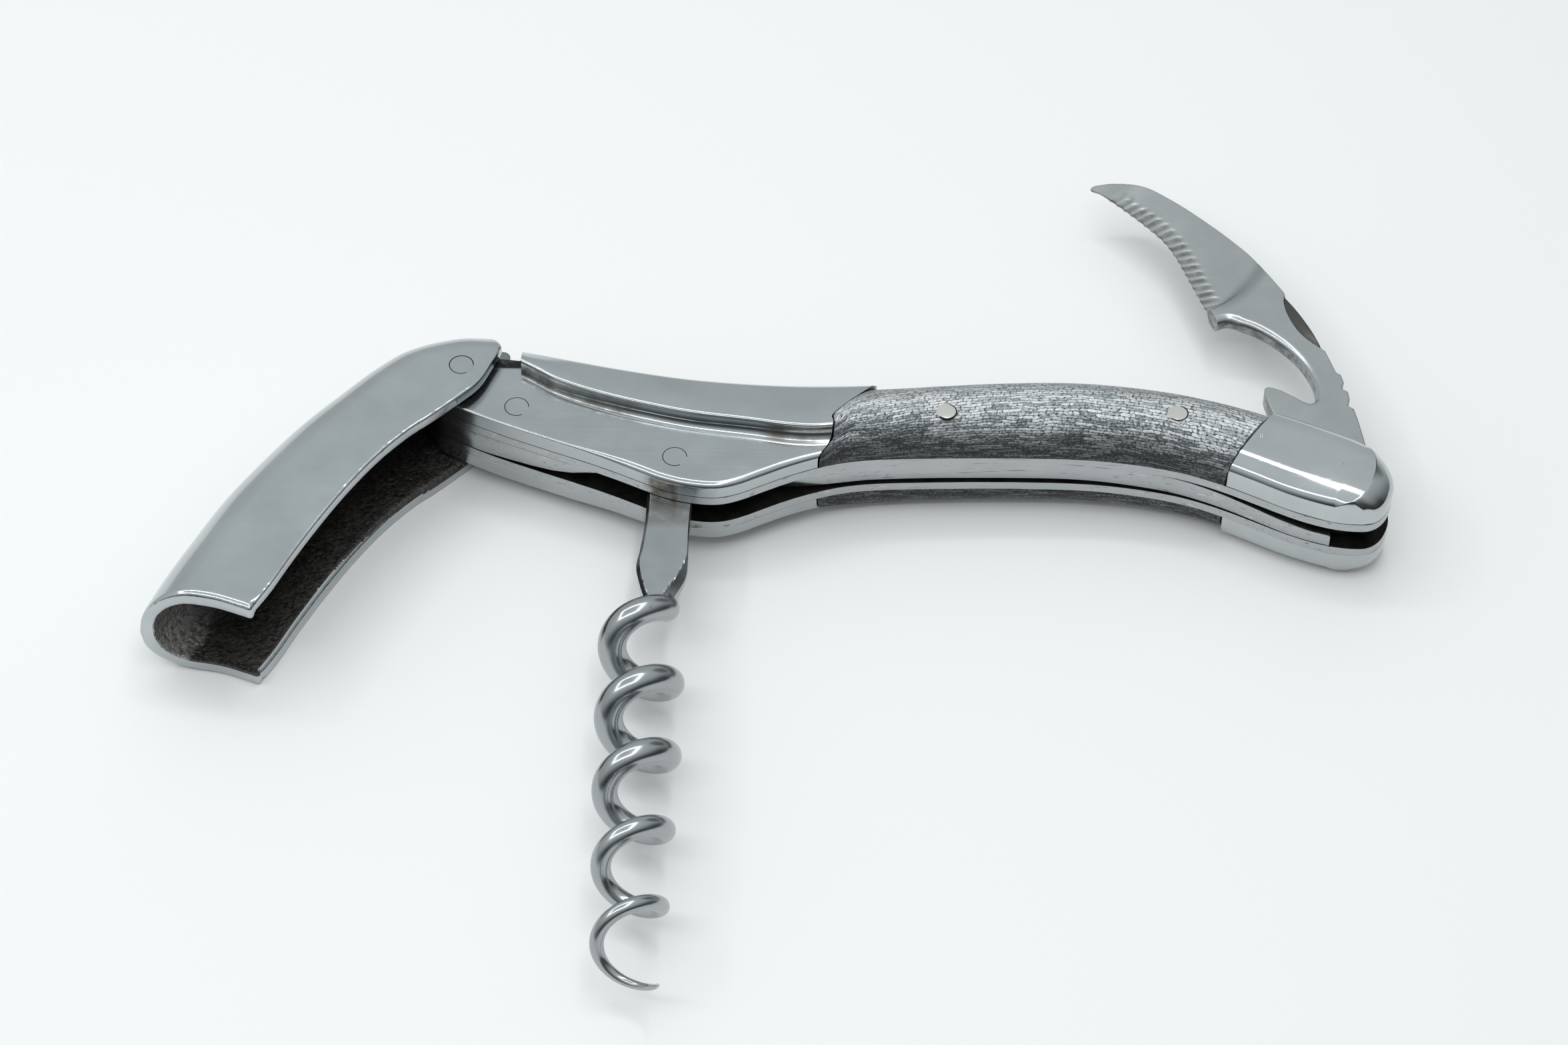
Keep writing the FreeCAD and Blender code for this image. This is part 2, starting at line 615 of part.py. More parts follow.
# ---- stand the set on z = 0, centred in X and Y ---------------------------
box = None
for s in parts.values():
    b = s.optimalBoundingBox(False, False)
    if box is None:
        box = [b.XMin, b.YMin, b.ZMin, b.XMax, b.YMax, b.ZMax]
    else:
        box = [min(box[0], b.XMin), min(box[1], b.YMin), min(box[2], b.ZMin),
               max(box[3], b.XMax), max(box[4], b.YMax), max(box[5], b.ZMax)]
shift = V(-(box[0] + box[3]) / 2.0, -(box[1] + box[4]) / 2.0, -box[2])

os.makedirs("parts", exist_ok=True)
for name in sorted(parts):
    s = parts[name].copy()
    s.translate(shift)
    s.exportStep("parts/%s.step" % name)
    print("%-20s solids %d valid %s vol %.2f" %
          (name, len(s.Solids), s.isValid(), s.Volume))
print("BOX", [round(v, 4) for v in box])
print("SHIFT", round(shift.x, 5), round(shift.y, 5), round(shift.z, 5))
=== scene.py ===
import bpy
import bmesh
import math
import numpy as np
from mathutils import Vector, Matrix, geometry


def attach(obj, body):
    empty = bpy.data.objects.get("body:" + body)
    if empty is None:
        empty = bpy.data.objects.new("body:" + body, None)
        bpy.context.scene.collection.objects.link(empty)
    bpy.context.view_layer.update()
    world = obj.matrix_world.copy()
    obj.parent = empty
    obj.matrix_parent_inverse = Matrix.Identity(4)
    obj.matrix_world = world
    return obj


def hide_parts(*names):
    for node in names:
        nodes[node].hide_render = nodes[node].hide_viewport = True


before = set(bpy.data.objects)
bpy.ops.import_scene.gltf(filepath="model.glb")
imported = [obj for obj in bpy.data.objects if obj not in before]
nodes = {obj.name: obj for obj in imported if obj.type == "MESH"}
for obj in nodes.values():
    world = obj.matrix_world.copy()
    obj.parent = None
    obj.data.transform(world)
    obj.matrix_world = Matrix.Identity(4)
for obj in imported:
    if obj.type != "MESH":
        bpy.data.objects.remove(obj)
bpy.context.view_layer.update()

# ======================================================================
# Frame: pieces are drawn in working millimetres (z = 0 is the mid-plane of
# the handle) and written in the row frame, in metres.
# ======================================================================
SX, SY, SZ = 1.09925, 4.83237, 7.2


def W(p):
    return ((p[0] + SX) / 1000.0, (p[1] + SY) / 1000.0, (p[2] + SZ) / 1000.0)


# ---- camera ------------------------------------------------------------
FOC, S0 = 6800.0, 12.5
EL = math.radians(49.5)
ROLL = math.radians(1.2)
DIST = FOC / S0
cd = Vector((0, math.cos(EL), -math.sin(EL)))
cr = Vector((1, 0, 0))
cu = Vector((0, math.sin(EL), math.cos(EL)))
r_ax = cr * math.cos(ROLL) + cu * math.sin(ROLL)
u_ax = -cr * math.sin(ROLL) + cu * math.cos(ROLL)
cam_data = bpy.data.cameras.new("camera")
cam = bpy.data.objects.new("camera", cam_data)
bpy.context.scene.collection.objects.link(cam)
cam_data.sensor_width = 36.0
cam_data.lens = FOC / 2352.0 * 36.0
cam_data.clip_start = 0.01
cam_data.clip_end = 20
cpos = Vector(W(-cd * DIST))
cm = Matrix.Identity(4)
for i in range(3):
    cm[i][0], cm[i][1], cm[i][2], cm[i][3] = r_ax[i], u_ax[i], -cd[i], cpos[i]
cam.matrix_world = cm
bpy.context.scene.camera = cam

# ======================================================================
# Outline data
# ======================================================================
ZI, ZO = 1.6, 2.8
RECESS_Z, CREST_Z = 5.0, 7.1
NECK_R = 4.4
P_LEVER = (-39.55, 17.99)
P_HEAD = (-32.65, 13.30)
P_WORM = (-13.28, 5.78)
P_BLADE = (67.00, 5.20)
BELLY = [(-41.68, 14.14), (-39.16, 12.75), (-36.08, 11.25), (-32.92, 9.90),
         (-29.78, 8.66), (-26.66, 7.45), (-23.87, 6.37), (-20.80, 5.08),
         (-17.20, 3.41), (-15.12, 2.45), (-13.08, 1.77), (-11.02, 1.35),
         (-9.30, 1.18), (-7.60, 1.28), (-5.40, 1.98), (-2.61, 3.38),
         (0.41, 4.89), (3.50, 6.15), (6.50, 7.10), (10.00, 7.72),
         (15.00, 8.10), (20.60, 8.36), (30.80, 8.58), (37.80, 8.38),
         (43.80, 7.60), (48.00, 6.66), (52.45, 5.02), (55.90, 3.40),
         (60.32, 1.22), (64.78, -0.42), (67.05, -0.86), (69.10, -0.95)]
TAIL = [(69.10, -0.95), (70.60, -0.55), (71.70, 0.45), (72.50, 1.95),
        (72.95, 3.70), (72.75, 5.60), (71.85, 7.45), (70.40, 9.05),
        (68.60, 10.30)]
BACK = [(68.60, 10.30), (65.60, 11.75), (62.40, 13.20), (59.00, 14.62),
        (56.70, 15.50), (53.50, 16.60), (50.30, 17.50), (47.00, 18.28),
        (42.00, 19.05), (37.00, 19.50), (33.00, 19.60), (27.00, 19.35),
        (20.00, 18.80), (13.00, 18.20), (6.50, 17.85), (0.00, 17.72),
        (-6.50, 17.95), (-13.00, 18.55), (-19.50, 19.60), (-26.00, 20.85),
        (-29.50, 21.50), (-32.20, 21.90), (-34.50, 22.20), (-37.00, 22.39),
        (-39.55, 22.39)]
LEDGE = [(-32.40, 18.90), (-30.30, 17.62), (-27.80, 16.04), (-22.99, 14.10),
         (-17.44, 12.47), (-11.38, 11.10), (-4.36, 10.16), (0.36, 9.47)]
CREST = [(-34.5, 20.05)] + LEDGE + [
    (4.0, 9.40), (8.0, 10.05), (13.0, 11.30), (19.0, 12.60), (25.0, 13.40),
    (31.0, 13.80), (37.0, 13.75), (43.0, 13.10), (49.0, 11.90),
    (55.0, 10.10), (61.0, 7.70), (68.0, 4.80)]
JOINT = [(1.60, 2.00), (3.10, 4.90), (4.30, 7.00), (5.30, 8.70),
         (5.70, 10.20), (5.55, 11.20), (7.00, 13.30), (9.00, 15.60),
         (10.90, 18.00), (12.50, 20.60)]
JOINT_TAIL = ((60.80, 16.40), (51.00, 1.80))


def hermite(table, x):
    """Smooth curve through a table sorted by its first column."""
    t = np.asarray(table, float)
    xs, ys = t[:, 0], t[:, 1]
    x = np.clip(np.asarray(x, float), xs[0], xs[-1])
    i = np.clip(np.searchsorted(xs, x, side="right") - 1, 0, len(xs) - 2)
    i0 = np.maximum(i - 1, 0)
    i3 = np.minimum(i + 2, len(xs) - 1)
    w = xs[i + 1] - xs[i]
    ma = (ys[i + 1] - ys[i0]) / (xs[i + 1] - xs[i0]) * w
    mb = (ys[i3] - ys[i]) / (xs[i3] - xs[i]) * w
    q = (x - xs[i]) / w
    return ((2 * q ** 3 - 3 * q ** 2 + 1) * ys[i] + (q ** 3 - 2 * q ** 2 + q)
            * ma + (3 * q ** 2 - 2 * q ** 3) * ys[i + 1] + (q ** 3 - q ** 2)
            * mb)


BELLY_T = sorted(BELLY)
BACK_T = sorted(BACK)


def belly(x):
    x = np.asarray(x, float)
    y = hermite(BELLY_T, x)
    r2 = np.maximum(NECK_R ** 2 - (x - P_LEVER[0]) ** 2, 0)
    return np.where(x < -41.68, P_LEVER[1] - np.sqrt(r2), y)


def back(x):
    x = np.asarray(x, float)
    y = hermite(BACK_T, x)
    r2 = np.maximum(NECK_R ** 2 - (x - P_LEVER[0]) ** 2, 0)
    return np.where(x < P_LEVER[0], P_LEVER[1] + np.sqrt(r2), y)


def crest(x):
    return hermite(CREST, x)


def joint_x(y):
    return hermite([(b, a) for a, b in JOINT], y)


def tail_x(y):
    (xa, ya), (xb, yb) = JOINT_TAIL
    return xb + (np.asarray(y, float) - yb) * (xa - xb) / (ya - yb)


def smooth(a, b, x):
    t = np.clip((np.asarray(x, float) - a) / (b - a), 0, 1)
    return t * t * (3 - 2 * t)


def catmull(pts, n):
    """n+1 points at even arc length along a smooth line through pts."""
    p = np.asarray(pts, float)
    d = np.r_[0, np.cumsum(np.sqrt(np.linalg.norm(np.diff(p, axis=0),
                                                  axis=1)))]
    dense = []
    for k in range(p.shape[1]):
        tab = np.c_[d, p[:, k]]
        dense.append(hermite(tab, np.linspace(0, d[-1], 60 * len(p))))
    q = np.array(dense).T
    s = np.r_[0, np.cumsum(np.linalg.norm(np.diff(q, axis=0), axis=1))]
    u = np.linspace(0, s[-1], n + 1)
    return np.array([np.interp(u, s, q[:, k]) for k in range(p.shape[1])]).T


# ======================================================================
# Mesh helpers
# ======================================================================
def make(name, verts, faces, body, mats, sharp=38, bevel=0.0,
         merge=0.0008, uv=None, fmat=None):
    me = bpy.data.meshes.new(name)
    me.from_pydata([W(v) for v in verts], [], [list(map(int, f))
                                               for f in faces])
    if uv is not None:
        lay = me.uv_layers.new(name="map")
        for li, lp in enumerate(me.loops):
            lay.data[li].uv = uv[lp.vertex_index]
    if fmat is not None:
        me.polygons.foreach_set("material_index", np.asarray(fmat, np.int32))
    bm = bmesh.new()
    bm.from_mesh(me)
    if merge:
        bmesh.ops.remove_doubles(bm, verts=bm.verts, dist=merge / 1000.0)
    bmesh.ops.dissolve_degenerate(bm, dist=1e-8, edges=bm.edges)
    bmesh.ops.recalc_face_normals(bm, faces=bm.faces)
    bm.to_mesh(me)
    bm.free()
    for p in me.polygons:
        p.use_smooth = True
    if sharp:
        me.set_sharp_from_angle(angle=math.radians(sharp))
    ob = bpy.data.objects.new(name, me)
    bpy.context.scene.collection.objects.link(ob)
    if bevel:
        b = ob.modifiers.new("edge", "BEVEL")
        b.width = bevel / 1000.0
        b.segments = 2
        b.limit_method = "ANGLE"
        b.angle_limit = math.radians(42)
        b.harden_normals = True
        b.use_clamp_overlap = True
    if not isinstance(mats, (list, tuple)):
        mats = [mats]
    for m in mats:
        me.materials.append(m)
    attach(ob, body)
    return ob


def grid_faces(n, m, base=0, flip=False):
    f = []
    for i in range(n - 1):
        for j in range(m - 1):
            a = base + i * m + j
            q = (a, a + 1, a + m + 1, a + m)
            f.append(q[::-1] if flip else q)
    return f


def shell(top, zbot, side=1.0, uv=None, seam=0.0):
    """Closed solid under a grid of top points, down to a flat bottom.
    side=-1 mirrors it through the mid-plane."""
    top = np.array(top, float)
    n, m = top.shape[:2]
    v = top.reshape(-1, 3)
    rim = ([j for j in range(m)] + [i * m + m - 1 for i in range(1, n)] +
           [(n - 1) * m + j for j in range(m - 2, -1, -1)] +
           [i * m for i in range(n - 2, 0, -1)])
    low = v[rim].copy()
    low[:, 2] = zbot
    f = grid_faces(n, m)
    o = n * m
    k = len(rim)
    if seam:
        mid = low.copy()
        mid[:, 2] = zbot + seam
        t = np.roll(low[:, :2], -2, 0) - np.roll(low[:, :2], 2, 0)
        t /= np.linalg.norm(t, axis=1)[:, None] + 1e-9
        area = 0.5 * np.sum(low[:, 0] * np.roll(low[:, 1], -1) -
                            np.roll(low[:, 0], -1) * low[:, 1])
        sg = 1.0 if area > 0 else -1.0
        low[:, 0] -= t[:, 1] * seam * sg
        low[:, 1] += t[:, 0] * seam * sg
        for q in range(k):
            a, b = rim[q], rim[(q + 1) % k]
            f.append((a, b, o + (q + 1) % k, o + q))
            f.append((o + q, o + (q + 1) % k, o + k + (q + 1) % k,
                      o + k + q))
        f.append(tuple(o + k + q for q in range(k)))
        v = np.vstack([v, mid, low])
        rim = rim + rim
    else:
        for q in range(k):
            a, b = rim[q], rim[(q + 1) % k]
            f.append((a, b, o + (q + 1) % k, o + q))
        f.append(tuple(o + q for q in range(k)))
        v = np.vstack([v, low])
    v[:, 2] *= side
    uvs = None
    if uv is not None:
        u = np.asarray(uv).reshape(-1, 2)
        uvs = np.vstack([u, u[rim]])
    return v, f, uvs, rim


def line_dist(P, L):
    """Distance of each point from a polyline, and where along it."""
    P, L = np.asarray(P, float), np.asarray(L, float)
    A, B = L[:-1], L[1:]
    D = B - A
    q = (D ** 2).sum(1) + 1e-12
    ln = np.sqrt(q)
    s0 = np.r_[0, np.cumsum(ln)[:-1]]
    best = np.full(len(P), 1e9)
    at = np.zeros(len(P))
    for k in range(len(A)):
        t = np.clip(((P - A[k]) @ D[k]) / q[k], 0, 1)
        r = np.linalg.norm(P - A[k] - t[:, None] * D[k], axis=1)
        w = r < best
        best = np.where(w, r, best)
        at = np.where(w, s0[k] + t * ln[k], at)
    return best, at


def in_poly(P, L):
    x, y = P[:, 0], P[:, 1]
    c = np.zeros(len(P), bool)
    x0, y0 = L[:, 0], L[:, 1]
    x1, y1 = np.roll(x0, -1), np.roll(y0, -1)
    for k in range(len(L)):
        if y0[k] == y1[k]:
            continue
        h = ((y0[k] > y) != (y1[k] > y)) & \
            (x < (x1[k] - x0[k]) * (y - y0[k]) / (y1[k] - y0[k]) + x0[k])
        c ^= h
    return c


def even(L, step, closed=False):
    L = np.asarray(L, float)
    if closed:
        L = np.vstack([L, L[:1]])
    s = np.r_[0, np.cumsum(np.linalg.norm(np.diff(L, axis=0), axis=1))]
    n = max(2, int(round(s[-1] / step)))
    u = np.linspace(0, s[-1], n + 1)
    q = np.c_[np.interp(u, s, L[:, 0]), np.interp(u, s, L[:, 1])]
    return q[:-1] if closed else q


def plate(outline, holes, zfun, grid, rows, extra=None):
    """Closed plate. zfun gives half its thickness, or its two faces."""
    loops = [np.asarray(outline)] + [np.asarray(h) for h in holes]
    whole = np.vstack([np.vstack([l, l[:1]]) for l in loops])
    x0, y0 = loops[0].min(0)
    x1, y1 = loops[0].max(0)
    pts = []
    i = 0
    y = y0
    while y < y1:
        xs = np.arange(x0 + (grid / 2 if i % 2 else 0), x1, grid)
        pts.append(np.c_[xs, np.full(len(xs), y)])
        y += grid * 0.866
        i += 1
    pts = np.vstack(pts)
    dist = np.full(len(pts), 1e9)
    for l in loops:
        dist = np.minimum(dist, line_dist(pts, np.vstack([l, l[:1]]))[0])
    reach = rows[-1] if len(rows) else 0
    ok = in_poly(pts, loops[0]) & (dist > reach + 0.5 * grid)
    for h in loops[1:]:
        ok &= ~in_poly(pts, h)
    pts = pts[ok]
    band = []
    for l in loops:
        t = np.roll(l, -1, 0) - np.roll(l, 1, 0)
        t /= np.linalg.norm(t, axis=1)[:, None] + 1e-12
        nr = np.c_[-t[:, 1], t[:, 0]]
        for r in rows:
            for sg in (1, -1):
                q = l + nr * r * sg
                ok = in_poly(q, loops[0])
                for h in loops[1:]:
                    ok &= ~in_poly(q, h)
                dd = np.full(len(q), 1e9)
                for l2 in loops:
                    dd = np.minimum(dd, line_dist(
                        q, np.vstack([l2, l2[:1]]))[0])
                band.append(q[ok & (dd > 0.93 * r)])
    allp = [pts] + band + ([extra] if extra is not None else [])
    inner = np.vstack(allp)
    # thin out points that fall on one another
    key = np.round(inner / 0.05).astype(int)
    _, idx = np.unique(key, axis=0, return_index=True)
    inner = inner[np.sort(idx)]
    base = np.vstack(loops)
    P = np.vstack([base, inner])
    edges, o = [], 0
    for l in loops:
        k = len(l)
        edges += [(o + q, o + (q + 1) % k) for q in range(k)]
        o += k
    res = geometry.delaunay_2d_cdt([Vector((float(p[0]), float(p[1])))
                                    for p in P], edges, [], 0, 1e-7)
    V2 = np.array([[p[0], p[1]] for p in res[0]])
    F = [tuple(f) for f in res[2]]
    cen = np.array([V2[list(f)].mean(0) for f in F])
    keep = in_poly(cen, loops[0])
    for h in loops[1:]:
        keep &= ~in_poly(cen, h)
    F = [f for f, k in zip(F, keep) if k]
    used = sorted({i for f in F for i in f})
    m = {g: i for i, g in enumerate(used)}
    V2 = V2[used]
    F = [tuple(m[i] for i in f) for f in F]
    z = zfun(V2)
    zt, zb = z if isinstance(z, tuple) else (z, -z)
    n = len(V2)
    v = np.vstack([np.c_[V2, zt], np.c_[V2, zb]])
    cnt = {}
    for f in F:
        for a, b in ((f[0], f[1]), (f[1], f[2]), (f[2], f[0])):
            if (b, a) in cnt:
                cnt.pop((b, a))
            else:
                cnt[(a, b)] = 1
    faces = list(F) + [tuple(i + n for i in f[::-1]) for f in F]
    for a, b in cnt:
        faces.append((b, a, a + n, b + n))
    return v, faces


def lathe(profile, centre, steps=64):
    """Closed turned shape about a line along Z: (radius, z) from the foot
    up to the top, both ends on the axis."""
    v, f = [], []
    n = len(profile)
    for r, z in profile:
        for k in range(steps):
            a = 2 * math.pi * k / steps
            v.append((centre[0] + r * math.cos(a),
                      centre[1] + r * math.sin(a), z))
    for i in range(n - 1):
        for k in range(steps):
            q = (k + 1) % steps
            f.append((i * steps + k, i * steps + q, (i + 1) * steps + q,
                      (i + 1) * steps + k))
    return v, f


def reshaped(node, name, body, slot, mat, fn=None, sharp=35, flat=0.4):
    """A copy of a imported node's mesh, with its facets joined, to shape."""
    me = nodes[node].data.copy()
    me.name = name
    me.materials.clear()
    me.materials.append(mat)
    bm = bmesh.new()
    bm.from_mesh(me)
    bmesh.ops.remove_doubles(bm, verts=bm.verts, dist=2e-6)
    bmesh.ops.dissolve_limit(bm, angle_limit=math.radians(flat),
                             verts=bm.verts, edges=bm.edges)
    if fn:
        fn(bm)
    bmesh.ops.triangulate(bm, faces=[f for f in bm.faces
                                     if len(f.verts) > 4])
    bm.to_mesh(me)
    bm.free()
    for at in ("custom_normal", "sharp_face"):
        if at in me.attributes:
            me.attributes.remove(me.attributes[at])
    for p in me.polygons:
        p.use_smooth = True
    me.set_sharp_from_angle(angle=math.radians(sharp))
    ob = bpy.data.objects.new(name, me)
    bpy.context.scene.collection.objects.link(ob)
    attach(ob, body)
    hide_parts(node)
    return ob


# ======================================================================
# Materials
# ======================================================================
def new_mat(name):
    m = bpy.data.materials.new(name)
    m.use_nodes = True
    nt = m.node_tree
    return m, nt, nt.nodes["Principled BSDF"]


def N(nt, kind, **kw):
    n = nt.nodes.new(kind)
    for k, v in kw.items():
        setattr(n, k, v)
    return n


def ramp(nt, stops, src=None, interp="LINEAR"):
    n = nt.nodes.new("ShaderNodeValToRGB")
    n.color_ramp.interpolation = interp
    el = n.color_ramp.elements
    while len(el) > 1:
        el.remove(el[-1])
    el[0].position = stops[0][0]
    c = stops[0][1]
    el[0].color = (c, c, c, 1) if not hasattr(c, "__len__") else (*c, 1)
    for p, c in stops[1:]:
        e = el.new(p)
        e.color = (c, c, c, 1) if not hasattr(c, "__len__") else (*c, 1)
    if src is not None:
        nt.links.new(src, n.inputs[0])
    return n


def mixc(nt, fac, a, b, mode="MIX"):
    n = nt.nodes.new("ShaderNodeMix")
    n.data_type = "RGBA"
    n.blend_type = mode
    for sock, val in ((n.inputs[0], fac), (n.inputs[6], a), (n.inputs[7], b)):
        if hasattr(val, "links"):
            nt.links.new(val, sock)
        elif hasattr(val, "__len__"):
            sock.default_value = (*val, 1)
        else:
            sock.default_value = val
    return n.outputs[2]


def math_n(nt, op, a, b=None, clamp=False):
    n = nt.nodes.new("ShaderNodeMath")
    n.operation = op
    n.use_clamp = clamp
    for i, v in enumerate((a, b)):
        if v is None:
            continue
        if hasattr(v, "links"):
            nt.links.new(v, n.inputs[i])
        else:
            n.inputs[i].default_value = v
    return n.outputs[0]


def coords(nt, rot=(0, 0, 0), scale=(1, 1, 1), out="Object"):
    tc = N(nt, "ShaderNodeTexCoord")
    mp = N(nt, "ShaderNodeMapping")
    mp.inputs["Rotation"].default_value = rot
    mp.inputs["Scale"].default_value = scale
    nt.links.new(tc.outputs[out], mp.inputs["Vector"])
    return mp.outputs[0]


def noise(nt, vec, scale, detail=3, rough=0.55):
    n = N(nt, "ShaderNodeTexNoise")
    n.inputs["Scale"].default_value = scale
    n.inputs["Detail"].default_value = detail
    n.inputs["Roughness"].default_value = rough
    nt.links.new(vec, n.inputs["Vector"])
    return n.outputs["Fac"]


def local(nt, v, boxes):
    """1 inside any of the given soft-edged boxes (working mm), else 0."""
    sp = N(nt, "ShaderNodeSeparateXYZ")
    nt.links.new(v, sp.inputs[0])
    out = None
    for lo, hi, soft in boxes:
        m = None
        for k, sh in enumerate((SX, SY, SZ)):
            if lo[k] is None:
                continue
            a = math_n(nt, "DIVIDE", math_n(
                nt, "SUBTRACT", sp.outputs[k], (lo[k] + sh) / 1000.0),
                soft / 1000.0, True)
            c = math_n(nt, "DIVIDE", math_n(
                nt, "SUBTRACT", (hi[k] + sh) / 1000.0, sp.outputs[k]),
                soft / 1000.0, True)
            q = math_n(nt, "MULTIPLY", a, c)
            m = q if m is None else math_n(nt, "MULTIPLY", m, q)
        out = m if out is None else math_n(nt, "MAXIMUM", out, m)
    return out


def steel(name, color, rough, grain=None, grain_amt=0.0, smudge=0.05,
          pits=0.0, brown=None, painted_shade=None, streak=0.0, inner=None,
          cove=None):
    """Polished steel: faint smudges in the gloss, hair scratches, and an
    optional grinding grain along one direction (radians about Z)."""
    m, nt, b = new_mat(name)
    b.inputs["Metallic"].default_value = 1.0
    b.inputs["IOR"].default_value = 2.2
    v = coords(nt)
    n1 = noise(nt, v, 160, 4)
    n2 = noise(nt, v, 900, 2)
    base = mixc(nt, ramp(nt, [(0.30, 0.0), (0.72, 1.0)], n1).outputs[0],
                [c * 0.93 for c in color], [min(1, c * 1.05) for c in color])
    rr = ramp(nt, [(0.3, max(0.02, rough - smudge)), (0.75, rough + smudge)],
              n1).outputs[0]
    # hair scratches, crossing at random
    vs = coords(nt, rot=(0, 0, 0.5), scale=(1, 34, 34))
    sc = ramp(nt, [(0.60, 0.0), (0.66, 1.0)],
              noise(nt, vs, 210, 2)).outputs[0]
    rr2 = math_n(nt, "MULTIPLY", sc, 0.05)
    rsum = math_n(nt, "ADD", rr, rr2)
    bump_h = math_n(nt, "MULTIPLY", n2, 0.15)
    if grain is not None:
        vg = coords(nt, rot=(0, 0, -grain), scale=(1, 60, 60))
        g = noise(nt, vg, 90, 5, 0.7)
        base = mixc(nt, grain_amt, base,
                    ramp(nt, [(0.25, [c * 0.72 for c in color]),
                              (0.75, [min(1, c * 1.12) for c in color])],
                         g).outputs[0])
        rsum = math_n(nt, "ADD", rsum,
                      math_n(nt, "MULTIPLY", g, 0.25 * grain_amt))
        bump_h = math_n(nt, "ADD", bump_h,
                        math_n(nt, "MULTIPLY", g, grain_amt))
    if pits:
        vp = N(nt, "ShaderNodeTexVoronoi")
        vp.inputs["Scale"].default_value = 420
        nt.links.new(v, vp.inputs["Vector"])
        pm = ramp(nt, [(0.0, 1.0), (0.10, 0.0)], vp.outputs["Distance"])
        gate = ramp(nt, [(0.58, 0.0), (0.62, 1.0)], noise(nt, v, 260, 1))
        pf = math_n(nt, "MULTIPLY", pm.outputs[0], gate.outputs[0])
        pf = math_n(nt, "MULTIPLY", pf, pits)
        base = mixc(nt, pf, base, (0.03, 0.03, 0.03))
        rsum = math_n(nt, "ADD", rsum, math_n(nt, "MULTIPLY", pf, 0.5))
    if streak:
        vk = coords(nt, scale=(1, 26, 26))
        k1 = ramp(nt, [(0.60, 0.0), (0.68, 1.0)],
                  noise(nt, vk, 120, 4, 0.65)).outputs[0]
        base = mixc(nt, math_n(nt, "MULTIPLY", k1, streak), base,
                    (0.10, 0.10, 0.095))
        k2 = ramp(nt, [(0.62, 0.0), (0.72, 1.0)],
                  noise(nt, vk, 47, 3, 0.6)).outputs[0]
        base = mixc(nt, math_n(nt, "MULTIPLY", k2, streak * 0.7), base,
                    (0.72, 0.74, 0.74))
    if brown:
        bm_ = local(nt, v, brown)
        pt = ramp(nt, [(0.32, 0.35), (0.54, 1.0)],
                  noise(nt, v, 480, 4, 0.62)).outputs[0]
        fb = math_n(nt, "MULTIPLY", bm_, pt)
        base = mixc(nt, math_n(nt, "MULTIPLY", fb, 0.90), base,
                    (0.125, 0.110, 0.088))
        rsum = math_n(nt, "ADD", rsum, math_n(nt, "MULTIPLY", fb, 0.16))
    # painted shade: near-black noisy patches over the given boxes, standing
    # for shade in gaps and in the slot between the liners
    if painted_shade:
        gm = math_n(nt, "MULTIPLY", local(nt, v, painted_shade), ramp(
            nt, [(0.25, 0.55), (0.5, 1.0)],
            noise(nt, v, 600, 3)).outputs[0])
        base = mixc(nt, math_n(nt, "MULTIPLY", gm, 0.96), base,
                    (0.010, 0.010, 0.010))
        rsum = math_n(nt, "ADD", rsum, math_n(nt, "MULTIPLY", gm, 0.35))
    if cove:
        tn = N(nt, "ShaderNodeTexCoord")
        sn = N(nt, "ShaderNodeSeparateXYZ")
        nt.links.new(tn.outputs["Normal"], sn.inputs[0])
        fc = ramp(nt, [(0.22, 0.0), (0.45, 1.0)], math_n(
            nt, "MULTIPLY", sn.outputs[1], -1.0)).outputs[0]
        cx = None
        for lo, hi, soft in cove:
            q = local(nt, v, [((lo[0], None, None), (hi[0], None, None),
                               soft)])
            cx = q if cx is None else math_n(nt, "MAXIMUM", cx, q)
        cz = local(nt, v, [((None, None, cove[0][0][2]),
                            (None, None, cove[0][1][2]), 0.15)])
        pt = ramp(nt, [(0.36, 0.25), (0.60, 1.0)],
                  noise(nt, v, 330, 4, 0.62)).outputs[0]
        fb = math_n(nt, "MULTIPLY", math_n(nt, "MULTIPLY", fc, cx),
                    math_n(nt, "MULTIPLY", cz, pt))
        base = mixc(nt, math_n(nt, "MULTIPLY", fb, 0.80), base,
                    (0.150, 0.132, 0.110))
        rsum = math_n(nt, "ADD", rsum, math_n(nt, "MULTIPLY", fb, 0.14))
    # painted shade: faces lying flat (normal along Z) are darkened nearly to
    # black, patchily, for the shade inside the slot between the liners
    if inner:
        tn = N(nt, "ShaderNodeTexCoord")
        sn = N(nt, "ShaderNodeSeparateXYZ")
        nt.links.new(tn.outputs["Normal"], sn.inputs[0])
        fz = ramp(nt, [(0.55, 0.0), (0.80, 1.0)], math_n(
            nt, "ABSOLUTE", sn.outputs[2])).outputs[0]
        di = ramp(nt, [(0.40, 1.0), (0.62, inner)],
                  noise(nt, v, 300, 4, 0.65)).outputs[0]
        di = math_n(nt, "MULTIPLY", fz, di)
        base = mixc(nt, di, base, (0.020, 0.018, 0.015))
        rsum = math_n(nt, "ADD", rsum, math_n(nt, "MULTIPLY", di, 0.40))
    nt.links.new(base, b.inputs["Base Color"])
    nt.links.new(math_n(nt, "ADD", rsum, 0.0, True), b.inputs["Roughness"])
    bp = N(nt, "ShaderNodeBump")
    bp.inputs["Strength"].default_value = 0.05
    bp.inputs["Distance"].default_value = 0.00003
    nt.links.new(bump_h, bp.inputs["Height"])
    nt.links.new(bp.outputs[0], b.inputs["Normal"])
    return m


